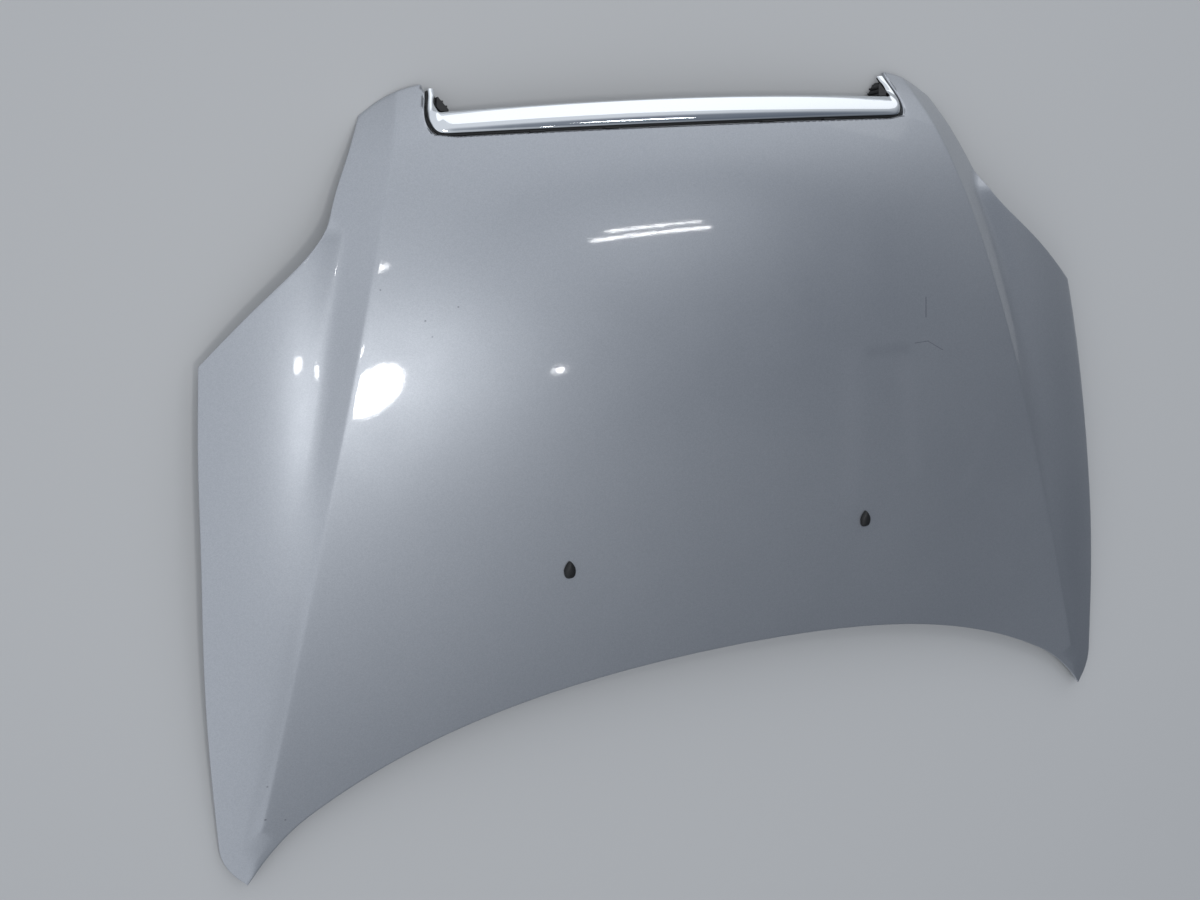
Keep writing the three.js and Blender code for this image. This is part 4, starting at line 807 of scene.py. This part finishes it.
def buildJet(name, side):
    jf = jetForm
    place = jetPlace(side)
    rings = []
    sides = 40

    def headRing(rise, size, shift=0.0):  # square-shouldered at the rear, drawn in to a round nose at the front
        ring = []
        for k in range(sides):
            angle = k / sides * 2 * math.pi
            ahead, wide = math.sin(angle), math.cos(angle)
            if ahead < 0:
                ahead, wide = (math.copysign(abs(v) ** 0.72, v) for v in (ahead, wide))
            narrow = 1 - 0.42 * max(0, ahead) ** 1.3
            ring.append((jf["width"] / 2 * size * wide * narrow,
                         jf["length"] / 2 * size * ahead - shift, jf["lift"] + rise * jf["height"]))
        rings.append(ring)

    def stemRing(radius, height):
        rings.append([(radius * math.cos(k / sides * 2 * math.pi), radius * math.sin(k / sides * 2 * math.pi), height)
                      for k in range(sides)])

    for rise, size in ((0.985, 0.02), (0.98, 0.2), (0.955, 0.38), (0.9, 0.55), (0.8, 0.7), (0.66, 0.82),
                       (0.5, 0.9), (0.32, 0.955), (0.15, 0.985), (0.05, 1.0), (0.0, 0.985)):
        headRing(rise, size, 1.2 * (rise > 0.9))
    stemRing(jf["stem"], jf["lift"] + 0.02)
    (clip, clipLength), (barb, barbLength), end, clipTop = jf["clip"], jf["barb"], -jf["stemEnd"], jf["clipTop"]
    for radius, height in ((jf["stem"], clipTop + 0.1), (clip * 0.97, clipTop), (clip, clipTop - 0.4),
                           (clip * 0.8, clipTop - clipLength), (jf["stem"], clipTop - clipLength - 0.1),
                           (jf["stem"], end + 0.5), (barb + 0.4, end), (barb, end - 0.2), (barb, end - 5),
                           (barb * 1.35, end - 8), (barb, end - 8.2), (barb, end - barbLength)):
        stemRing(radius, height)
    points = [place @ Vector(p) for ring in rings for p in ring]
    faces = []
    for i in range(len(rings) - 1):
        for k in range(sides):
            m = (k + 1) % sides
            faces.append([i * sides + k, (i + 1) * sides + k, (i + 1) * sides + m, i * sides + m])
    faces.append(list(range(sides)))
    faces.append([(len(rings) - 1) * sides + k for k in reversed(range(sides))])
    return newPiece(name, placed(points), faces)


jets = []
for jetName, side in (("jet_left", -1), ("jet_right", 1)):
    jet = buildJet(jetName, side)
    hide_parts("washer_jet_left" if side < 0 else "washer_jet_right")
    jets.append(jet)
print("washer jets made")


# Fittings taken over from the solids, edges eased
def easedCopy(node, name, radius, angle=32):
    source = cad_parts[node]
    mesh = source.data.copy()
    mesh.name = name
    work = bmesh.new()
    work.from_mesh(mesh)
    bmesh.ops.remove_doubles(work, verts=work.verts, dist=2e-6)
    bmesh.ops.dissolve_limit(work, angle_limit=math.radians(1), verts=work.verts, edges=work.edges)
    work.to_mesh(mesh)
    work.free()
    mesh.materials.clear()
    piece = bpy.data.objects.new(name, mesh)
    scene.collection.objects.link(piece)
    mesh.shade_smooth()
    mesh.set_sharp_from_angle(angle=math.radians(angle))
    if radius:
        edge = piece.modifiers.new("eased edge", "BEVEL")
        edge.width = radius * mm
        edge.segments = 2
        edge.limit_method = "ANGLE"
        edge.angle_limit = math.radians(angle)
        edge.harden_normals = False
    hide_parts(node)
    return piece


fittings = {}
for node in sorted(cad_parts):
    kind = node.rstrip("0123456789").rstrip("_")
    if node in ("outer_panel", "inner_panel", "grille_trim") or kind in ("mastic_bead", "trim_screw"):
        continue
    if node.startswith(("washer_jet", "striker_bolt")):
        continue
    radius = {"trim_carrier": 0.4, "rubber_stop_left": 1.2, "rubber_stop_right": 1.2}.get(kind, 0.3)
    fittings[node] = easedCopy(node, node + "_finished", radius)


# Materials
def newMaterial(name, **shader):
    material = bpy.data.materials.new(name)
    material.use_nodes = True
    tree = material.node_tree
    principled = next(n for n in tree.nodes if n.type == "BSDF_PRINCIPLED")
    for key, value in shader.items():
        principled.inputs[key.replace("_", " ")].default_value = value
    place = addNode(tree, "ShaderNodeTexCoord")
    return material, tree, place["Object"]


def wired(material, links):  # what was worked out goes to the shader
    tree = material.node_tree
    principled = next(n for n in tree.nodes if n.type == "BSDF_PRINCIPLED")
    for key, source in links.items():
        tree.links.new(source, principled.inputs[key])
    return material


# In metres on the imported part: wiping smears and scratches with their width, tint and strength, then chips
paintMarks = {
    "scratches": [
        ((0.3525, 0.1741), (0.3505, 0.1447), 0.0011, "#33373F", 0.7),
        ((0.3278, 0.1084), (0.3526, 0.1089), 0.0010, "#3A3E46", 0.45),
        ((0.3526, 0.1089), (0.3813, 0.0925), 0.0010, "#3A3E46", 0.45),
        ((0.2445, 0.1037), (0.3087, 0.1030), 0.016, "#7C8189", 0.16),
        ((0.2086, 0.0958), (0.2101, -0.1129), 0.034, "#C6C9CE", 0.09),
        ((0.3079, 0.0705), (0.3286, -0.0841), 0.026, "#C6C9CE", 0.08),
        ((0.4754, -0.026), (0.43, -0.12), 0.024, "#C6C9CE", 0.07),
    ],
    "chips": [(-0.4612, 0.2517, 0.0012), (-0.4098, 0.2083, 0.0014), (-0.3659, 0.2222, 0.0013),
              (-0.4032, 0.1874, 0.001), (-0.663, -0.3758, 0.0014), (-0.6697, -0.4218, 0.0018),
              (-0.6441, -0.4284, 0.0013)],
}


def marked(tree, where, colour, start, end, width, tint, strength):  # a soft stroke between two plan points
    run = Vector((end[0] - start[0], end[1] - start[1], 0))
    flat = addNode(tree, "ShaderNodeVectorMath", {"operation": "MULTIPLY", 0: where, 1: (1, 1, 0)})
    away = addNode(tree, "ShaderNodeVectorMath", {"operation": "SUBTRACT", 0: flat[0], 1: (*start, 0)})
    along = addNode(tree, "ShaderNodeVectorMath", {"operation": "DOT_PRODUCT", 0: away[0],
                                                   1: run / run.length_squared})
    share = addNode(tree, "ShaderNodeClamp", {"Value": along["Value"]})
    foot = addNode(tree, "ShaderNodeVectorMath", {"operation": "SCALE", 0: run, "Scale": share[0]})
    gap = addNode(tree, "ShaderNodeVectorMath", {"operation": "DISTANCE", 0: away[0], 1: foot[0]})
    cover = addNode(tree, "ShaderNodeMapRange", {"interpolation_type": "SMOOTHSTEP", "Value": gap["Value"],
                                                 "From Max": width, "To Min": strength, "To Max": 0.0})
    shape = addNode(tree, "ShaderNodeNewGeometry")
    upright = addNode(tree, "ShaderNodeSeparateXYZ", {0: shape["Normal"]})
    outside = addNode(tree, "ShaderNodeMath", {"operation": "GREATER_THAN", 0: upright["Z"], 1: 0.1})
    shown = addNode(tree, "ShaderNodeMath", {"operation": "MULTIPLY", 0: cover[0], 1: outside[0]})
    return addNode(tree, "ShaderNodeMix", {"data_type": "RGBA", "B": linearColour(tint), "Factor": shown[0],
                                           "A": colour})[2]


def silverPaint():
    # Silver metallic basecoat under clear lacquer: the aluminium flake gives a broad bright lobe and a fine
    # sparkle, and the lacquer a sharp weak mirror over it
    material, tree, where = newMaterial(
        "silver_metallic_lacquer", Metallic=0.82, Roughness=0.41, Coat_Weight=1.0, Coat_Roughness=0.045, Coat_IOR=1.5)
    cloud = addNode(tree, "ShaderNodeTexNoise", {"Scale": 3.1, "Detail": 3.0, "Roughness": 0.55, "Vector": where})
    # flake is 0.03 mm in the real paint; 0.9 mm is the finest that shows at this distance
    flake = addNode(tree, "ShaderNodeTexVoronoi", {"Scale": 1100.0, "Vector": where})
    flakeTone = addNode(tree, "ShaderNodeSeparateColor", {"Color": flake["Color"]})
    tone = addNode(tree, "ShaderNodeMix", {"data_type": "RGBA", "A": linearColour("#A5A9AF"),
                                           "B": linearColour("#B1B5BA"), "Factor": flakeTone["Red"]})
    drift = addNode(tree, "ShaderNodeMapRange", {"From Min": 0.3, "From Max": 0.7, "To Min": 0.0, "To Max": 0.12,
                                                 "Value": cloud["Fac"]})
    body = addNode(tree, "ShaderNodeMix", {"data_type": "RGBA", "B": linearColour("#8F949C"),
                                           "Factor": drift["Result"], "A": tone[2]})
    # wiping haze left on the right half, a few scratches and stone chips down to the primer
    haze = addNode(tree, "ShaderNodeTexNoise", {"Scale": 5.0, "Detail": 5.0, "Roughness": 0.6, "Vector": where})
    shown = body[2]
    for start, end, width, tint, strength in paintMarks["scratches"]:
        shown = marked(tree, where, shown, start, end, width, tint, strength)
    for x, y, size in paintMarks["chips"]:
        shown = marked(tree, where, shown, (x, y), (x + 0.001, y), size, "#4A4D52", 0.75)
    # orange peel of sprayed lacquer, about 4 mm across
    peel = addNode(tree, "ShaderNodeTexNoise", {"Scale": 240.0, "Detail": 1.0, "Vector": where})
    wave = addNode(tree, "ShaderNodeBump", {"Strength": 0.05, "Distance": 0.0004, "Height": peel["Fac"]})
    sparkle = addNode(tree, "ShaderNodeBump", {"Strength": 0.03, "Distance": 0.0004, "Height": flakeTone["Green"]})
    dull = addNode(tree, "ShaderNodeMapRange", {"From Min": 0.4, "From Max": 0.75, "To Min": 0.39, "To Max": 0.44,
                                                "Value": haze["Fac"]})
    return wired(material, {"Base Color": shown, "Normal": sparkle["Normal"], "Coat Normal": wave["Normal"],
                            "Roughness": dull["Result"]})


def framePaint():
    # The same silver over electrophoretic primer, thin and without much lacquer: satin and a little dusty
    material, tree, where = newMaterial(
        "thin_silver_over_primer", Metallic=0.55, Roughness=0.5, Coat_Weight=0.15, Coat_Roughness=0.3)
    dust = addNode(tree, "ShaderNodeTexNoise", {"Scale": 14.0, "Detail": 8.0, "Roughness": 0.7, "Vector": where})
    share = addNode(tree, "ShaderNodeMapRange", {"From Min": 0.35, "From Max": 0.75, "To Min": 0.0, "To Max": 0.7,
                                                 "Value": dust["Fac"]})
    tone = addNode(tree, "ShaderNodeMix", {"data_type": "RGBA", "A": linearColour("#9DA1A7"),
                                           "B": linearColour("#84868A"), "Factor": share["Result"]})
    rough = addNode(tree, "ShaderNodeMapRange", {"To Min": 0.42, "To Max": 0.68, "Value": dust["Fac"]})
    grit = addNode(tree, "ShaderNodeTexNoise", {"Scale": 420.0, "Detail": 2.0, "Vector": where})
    bump = addNode(tree, "ShaderNodeBump", {"Strength": 0.12, "Distance": 0.0004, "Height": grit["Fac"]})
    return wired(material, {"Base Color": tone[2], "Roughness": rough["Result"], "Normal": bump["Normal"]})


def platedChrome():
    # Chrome plated ABS: a near-perfect mirror with faint water spots and a trace of moulding waviness
    material, tree, where = newMaterial(
        "chrome_plated_abs", Metallic=1.0, Roughness=0.05, Base_Color=linearColour("#DDE1E4"))
    wave = addNode(tree, "ShaderNodeTexNoise", {"Scale": 22.0, "Detail": 2.0, "Vector": where})
    bump = addNode(tree, "ShaderNodeBump", {"Strength": 0.1, "Distance": 0.0015, "Height": wave["Fac"]})
    spots = addNode(tree, "ShaderNodeTexNoise", {"Scale": 160.0, "Detail": 4.0, "Roughness": 0.6, "Vector": where})
    rough = addNode(tree, "ShaderNodeMapRange", {"From Min": 0.5, "From Max": 0.75, "To Min": 0.035, "To Max": 0.14,
                                                 "Value": spots["Fac"]})
    return wired(material, {"Normal": bump["Normal"], "Roughness": rough["Result"]})


def speckled(name, dark, light, rough, grainMm, metal=False):  # a cloudy finish, with a bump where it is moulded
    own = {"Metallic": 0.95} if metal else {"IOR": 1.5}
    material, tree, where = newMaterial(name, Roughness=rough, **own)
    grain = addNode(tree, "ShaderNodeTexNoise", {"Scale": 1 / (grainMm * mm), "Detail": 5.0 if metal else 3.0,
                                                 "Roughness": 0.6 if metal else 0.5, "Vector": where})["Fac"]
    tone = addNode(tree, "ShaderNodeMix", {"data_type": "RGBA", "A": linearColour(dark), "B": linearColour(light),
                                           "Factor": grain})
    below, above = (0.1, 0.15) if metal else (0.08, 0.12)
    spread = addNode(tree, "ShaderNodeMapRange", {"To Min": rough - below, "To Max": rough + above, "Value": grain})
    links = {"Base Color": tone[2], "Roughness": spread[0]}
    if not metal:
        links["Normal"] = addNode(tree, "ShaderNodeBump", {"Strength": 0.25, "Distance": 0.0002, "Height": grain})[0]
    return wired(material, links)


paint = silverPaint()
primerPaint = framePaint()
chrome = platedChrome()
# Moulded ABS, black through its depth, with a fine spark-eroded grain
blackAbs = speckled("moulded_black_abs", "#08090A", "#121314", 0.5, 1.2)
# EPDM rubber: matt, a little grey with bloom
blackRubber = speckled("epdm_rubber", "#161617", "#262627", 0.8, 2.5)
# Butyl mastic: dull and doughy
mastic = speckled("butyl_mastic", "#1E1E20", "#2E2E31", 0.85, 4)
# Zinc plate with yellow passivation, faintly iridescent
zinc = speckled("yellow_zinc_plate", "#A79C76", "#BDB9A6", 0.35, 6, metal=True)
# Phosphated steel of weld nuts and the striker wire
steel = speckled("phosphated_steel", "#65686C", "#8A8E93", 0.42, 3, metal=True)


# Beads of anti-flutter mastic squeezed between the frame and the skin
beadForm = {"length": 36, "width": 8, "height": 2.4, "lump": 0.5, "seed": 7}


def beadTree(sizes):
    tree, given = newTree("mastic_bead", sizes)
    size = addNode(tree, "ShaderNodeCombineXYZ", {0: given["Length"], 1: given["Width"], 2: given["Height"]})
    block = addNode(tree, "GeometryNodeMeshCube", {"Vertices X": 8, "Vertices Y": 3, "Vertices Z": 3,
                                                   "Size": size[0]})
    pillow = addNode(tree, "GeometryNodeSubdivisionSurface", {"Level": 2, "Mesh": block["Mesh"]})
    loose = addNode(tree, "GeometryNodeRealizeInstances", {"Geometry": laidOut(tree, given["Geometry"], pillow[0])})
    noise = addNode(tree, "ShaderNodeTexNoise", {"noise_dimensions": "4D", "Scale": 140.0, "Detail": 1.0,
                                                 "W": given["Seed"]})
    centred = addNode(tree, "ShaderNodeVectorMath", {"operation": "SUBTRACT", 1: (0.5, 0.5, 0.5), 0: noise["Color"]})
    shove = addNode(tree, "ShaderNodeVectorMath", {"operation": "SCALE", 0: centred[0], "Scale": given["Lump"]})
    lumpy = addNode(tree, "GeometryNodeSetPosition", {"Geometry": loose[0], "Offset": shove[0]})
    endTree(tree, lumpy[0], given["Finish"])
    return tree


def cornersOf(node):
    return [v.co.copy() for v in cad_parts[node].data.vertices]


def eulerOf(long, up):
    across = up.cross(long).normalized()
    return Matrix((across.cross(up), across, up)).transposed().to_euler()


def buildBeads(finish):
    nodes = sorted(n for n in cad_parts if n.startswith("mastic_bead"))
    spots, turns = [], []
    for node in nodes:
        corners = cornersOf(node)
        middle = sum(corners, Vector()) / len(corners)
        sxx = sum((p.x - middle.x) ** 2 for p in corners)
        syy = sum((p.y - middle.y) ** 2 for p in corners)
        sxy = sum((p.x - middle.x) * (p.y - middle.y) for p in corners)
        angle = 0.5 * math.atan2(2 * sxy, sxx - syy)
        up = upNormal(middle.x / mm - drawingShift[0], middle.y / mm - drawingShift[1])
        spots.append(middle)
        turns.append(eulerOf(Vector((math.cos(angle), math.sin(angle), 0)), up))
    sizes = {**sizesOf(beadForm, "Length", "Width", "Height", "Lump"), "Seed": beadForm["seed"]}
    carrier = carrierMesh("bead_spots", spots, {"turn": turns})
    beads = grown("anti_flutter_beads", carrier, beadTree(sizes), sizes, finish)
    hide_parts(*nodes)
    return beads


# Hexagon screws with a rolled washer face: four hold the grille trim, two hold the striker
screwForm = {  # the length here is a start, each kind takes its solid's own; pads are places in the frame's list
    "trim_screws": {"node": "trim_screw_", "hexagon": 7, "head": 2.4, "flange": 9, "shank": 4.6, "length": 14,
                    "pads": (6, 10)},
    "striker_bolts": {"node": "striker_bolt_", "hexagon": 10, "head": 4.6, "flange": 14.2, "shank": 5.8, "length": 18,
                      "pads": (4, 5)},
}


def screwTree():
    sizes = sizesOf(screwForm["striker_bolts"], "Hexagon", "Head", "Flange", "Shank", "Length")
    tree, given = newTree("flanged_screw", sizes)
    known = {"none": addNode(tree, "ShaderNodeMath", {"operation": "ADD", 0: 0.0, 1: 0.0})[0]}
    for name, source, share in (("corner", "Hexagon", 1 / math.sqrt(3)), ("eased", "Hexagon", 0.9 / math.sqrt(3)),
                                ("flange", "Flange", 0.5), ("rim", "Flange", 0.44), ("stem", "Shank", 0.5),
                                ("tip", "Shank", 0.4), ("body", "Head", 0.86), ("cap", "Head", 0.14),
                                ("half", "Head", 0.225), ("middle", "Head", 1.085), ("plain", "Length", 0.9),
                                ("end", "Length", 0.1)):
        known[name] = addNode(tree, "ShaderNodeMath", {"operation": "MULTIPLY", 0: given[source], 1: share})[0]
    parts = []
    # sides, lower radius, upper radius, height, where it starts
    for sides, *sizes in ((6, "eased", "corner", "cap", "none"), (6, "corner", "corner", "body", "cap"),
                          (40, "rim", "flange", "half", "body"), (40, "flange", "flange", "half", "middle"),
                          (20, "stem", "stem", "plain", "none"), (20, "stem", "tip", "end", "plain")):
        low, high, height, start = (known[size] for size in sizes)
        ring = addNode(tree, "GeometryNodeMeshCone", {"Vertices": sides, "Radius Bottom": low, "Radius Top": high,
                                                      "Depth": height})
        place = addNode(tree, "ShaderNodeCombineXYZ", {"Z": start})
        parts.append(addNode(tree, "GeometryNodeTransform", {"Geometry": ring["Mesh"], "Translation": place[0]})[0])
    whole = addNode(tree, "GeometryNodeJoinGeometry", {"Geometry": parts})
    endTree(tree, laidOut(tree, given["Geometry"], whole[0]), given["Finish"])
    return tree


def buildScrews(name, tree, finish):
    sf = screwForm[name]
    nodes = sorted(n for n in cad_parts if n.startswith(sf["node"]))
    spots, turns, lengths = [], [], []
    for node in nodes:
        corners = cornersOf(node)
        x = (min(p.x for p in corners) + max(p.x for p in corners)) / 2 / mm
        pads = [middle for middle, *_ in frameForm["pads"][slice(*sf["pads"])]]
        _, dx, dy = padPlane(min(pads, key=lambda middle: abs(middle[0] - x)), 0)
        up = Vector((-dx, -dy, 1)).normalized()
        side = Vector((1, 0, dx)).normalized()
        ahead = up.cross(side)
        reach = [p.dot(up) for p in corners]
        u = [p.dot(side) for p in corners]
        v = [p.dot(ahead) for p in corners]
        spots.append(up * min(reach) + side * (min(u) + max(u)) / 2 + ahead * (min(v) + max(v)) / 2)
        turns.append(eulerOf(side, up))
        lengths.append(max(reach) - min(reach))
    sizes = {**sizesOf(sf, "Hexagon", "Head", "Flange", "Shank"), "Length": min(lengths)}
    screws = grown(name, carrierMesh(name + "_spots", spots, {"turn": turns}), tree, sizes, finish, 25)
    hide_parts(*nodes)
    return screws


chromeBar = buildTrim(chrome)
beads = buildBeads(mastic)
flangedScrew = screwTree()
screws = [buildScrews(name, flangedScrew, zinc) for name in screwForm]
print("chrome bar, beads and screws grown:", len(chromeBar.data.polygons), len(beads.data.polygons),
      [len(s.data.polygons) for s in screws])

skin.data.materials.append(paint)
frameSheet.data.materials.append(primerPaint)
for jet in jets:
    jet.data.materials.append(blackAbs)
finishOf = {"trim_carrier": (blackAbs, "black_plastic"), "prop_rod_clip": (blackAbs, "black_plastic"),
            "rubber_stop": (blackRubber, "rubber"),
            "hinge_nut": (steel, "steel"), "latch_nut": (steel, "steel"), "striker_loop": (steel, "steel")}
for node, piece in fittings.items():
    finish = next((f for start, f in finishOf.items() if node.startswith(start)), (zinc, "zinc"))
    piece.data.materials.append(finish[0])
print("materials set")

for piece in [skin, frameSheet, chromeBar, beads, *screws, *jets, *fittings.values()]:
    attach(piece, "root")


# Floor, light and camera
def buildFloor():
    size = 12.0
    floor = newPiece("floor", [(-size, -size, 0), (size, -size, 0), (size, size, 0), (-size, size, 0)], [[0, 1, 2, 3]])
    board = newMaterial("pale_board", Base_Color=linearColour("#C3C4C4"), Roughness=0.55, Specular_IOR_Level=0.25)
    floor.data.materials.append(board[0])
    return floor


buildFloor()


# Surroundings as a studio tent: bright on the left and ahead, dimmer on the right
tentForm = {
    "wall": "#C6C8CA", "dark": "#4F5661", "light": "#ECF0F7", "level": 0.97, "slope": (-0.56, 0.42, 0.0),
    "middle": 0.82, "range": (0.08, 0.95), "flag": "#3F4C60", "flagWay": (0.43, 0.1, 0.9),
    "flagEdge": (0.87, 0.965), "flagShare": 0.72,
}


def setWorld():
    world = bpy.data.worlds.new("studio_tent")
    scene.world = world
    world.use_nodes = True
    tree = world.node_tree
    back = next(n for n in tree.nodes if n.type == "BACKGROUND")
    way = addNode(tree, "ShaderNodeTexCoord")["Generated"]
    lean = addNode(tree, "ShaderNodeVectorMath", {"operation": "DOT_PRODUCT", 0: way, 1: tentForm["slope"]})
    low, high = (level - tentForm["middle"] for level in tentForm["range"])
    share = addNode(tree, "ShaderNodeMapRange", {"interpolation_type": "SMOOTHSTEP", "From Min": low, "From Max": high,
                                                 "Value": lean["Value"]})
    tone = addNode(tree, "ShaderNodeMix", {"data_type": "RGBA", "A": linearColour(tentForm["dark"]),
                                           "B": linearColour(tentForm["light"]), "Factor": share[0]})
    # a dark flag overhead on the right gives the chrome its blue-grey lower band
    flagWay = Vector(tentForm["flagWay"]).normalized()
    toward = addNode(tree, "ShaderNodeVectorMath", {"operation": "DOT_PRODUCT", 0: way, 1: flagWay})
    near, core = tentForm["flagEdge"]
    cover = addNode(tree, "ShaderNodeMapRange", {"interpolation_type": "SMOOTHSTEP", "From Min": near, "From Max": core,
                                                 "To Max": tentForm["flagShare"], "Value": toward["Value"]})
    flagged = addNode(tree, "ShaderNodeMix", {"data_type": "RGBA", "B": linearColour(tentForm["flag"]),
                                              "Factor": cover[0], "A": tone[2]})
    back.inputs["Strength"].default_value = tentForm["level"]
    tree.links.new(flagged[2], back.inputs["Color"])
    # the camera itself sees a plain pale wall
    wall = addNode(tree, "ShaderNodeBackground", {"Color": linearColour(tentForm["wall"])})
    ray = addNode(tree, "ShaderNodeLightPath")["Is Camera Ray"]
    seen = addNode(tree, "ShaderNodeMixShader", {0: ray, 1: back.outputs[0], 2: wall[0]})
    sky = next(n for n in tree.nodes if n.type == "OUTPUT_WORLD")
    tree.links.new(seen[0], sky.inputs["Surface"])


# place, target, direction of the long side, size in metres, watts
lampForm = {
    "key_softbox": ((-0.51, -0.017, 2.487), (-0.481, 0.127, 0.09), (0.2, 1, 0), (0.34, 0.24), 6.8, "ELLIPSE"),
    "front_card": ((1.5, 3.0, 1.15), (0.3, 0.3, 0.2), (1, 0, 0), (3.1, 1.7), 9, "RECTANGLE"),
    "ceiling_tube_near": ((0.807, 0.831, 2.26), (-0.094, 0.296, 0.11), (0.61, -0.007, -0.174), (0.62, 0.02), 1.3,
                          "RECTANGLE"),
    "ceiling_tube_far": ((0.83, 0.9, 2.25), (-0.094, 0.296, 0.11), (0.61, -0.007, -0.174), (0.5, 0.014), 0.8,
                         "RECTANGLE"),
    "spot_middle": ((0.346, -0.155, 2.425), (-0.239, 0.128, 0.11), (1, 0, -0.2), (0.06, 0.045), 0.25, "ELLIPSE"),
    "spot_left": ((-0.727, 0.316, 2.457), (-0.569, 0.167, 0.07), (1, 0, 0), (0.16, 0.08), 0.6, "ELLIPSE"),
    "spot_rear": ((-0.536, 0.893, 2.403), (-0.46, 0.279, 0.08), (1, 0, 0), (0.09, 0.06), 0.3, "ELLIPSE"),
}


def turned(ahead, up):  # a frame that looks along one direction, with its own up as near as it can be to another
    ahead = Vector(ahead).normalized()
    right = ahead.cross(Vector(up)).normalized()
    return Matrix((right, right.cross(ahead), -ahead)).transposed().to_4x4()


def setLamps():
    for name, (place, target, long, size, power, shape) in lampForm.items():
        lamp = bpy.data.lights.new(name, "AREA")
        lamp.shape = shape
        lamp.size, lamp.size_y = size
        lamp.energy = power
        holder = bpy.data.objects.new(name, lamp)
        ahead = Vector(target) - Vector(place)
        spot = turned(ahead, ahead.cross(Vector(long)))
        spot.translation = Vector(place)
        holder.matrix_world = spot
        scene.collection.objects.link(holder)


setWorld()
setLamps()

cameraForm = {"place": (-888.67, 798.29, 1772.53), "ahead": (0.3806, -0.1476, -0.9128),
              "up": (0.1275, 0.9861, -0.1063), "focal": 1370 / 1200 * 36}


def setCamera():
    data = bpy.data.cameras.new("camera")
    data.sensor_width = 36
    data.lens = cameraForm["focal"]
    data.clip_start, data.clip_end = 0.05, 60
    holder = bpy.data.objects.new("camera", data)
    spot = turned(cameraForm["ahead"], cameraForm["up"])
    spot.translation = Vector(placed([cameraForm["place"]])[0])
    holder.matrix_world = spot
    scene.collection.objects.link(holder)
    scene.camera = holder


setCamera()
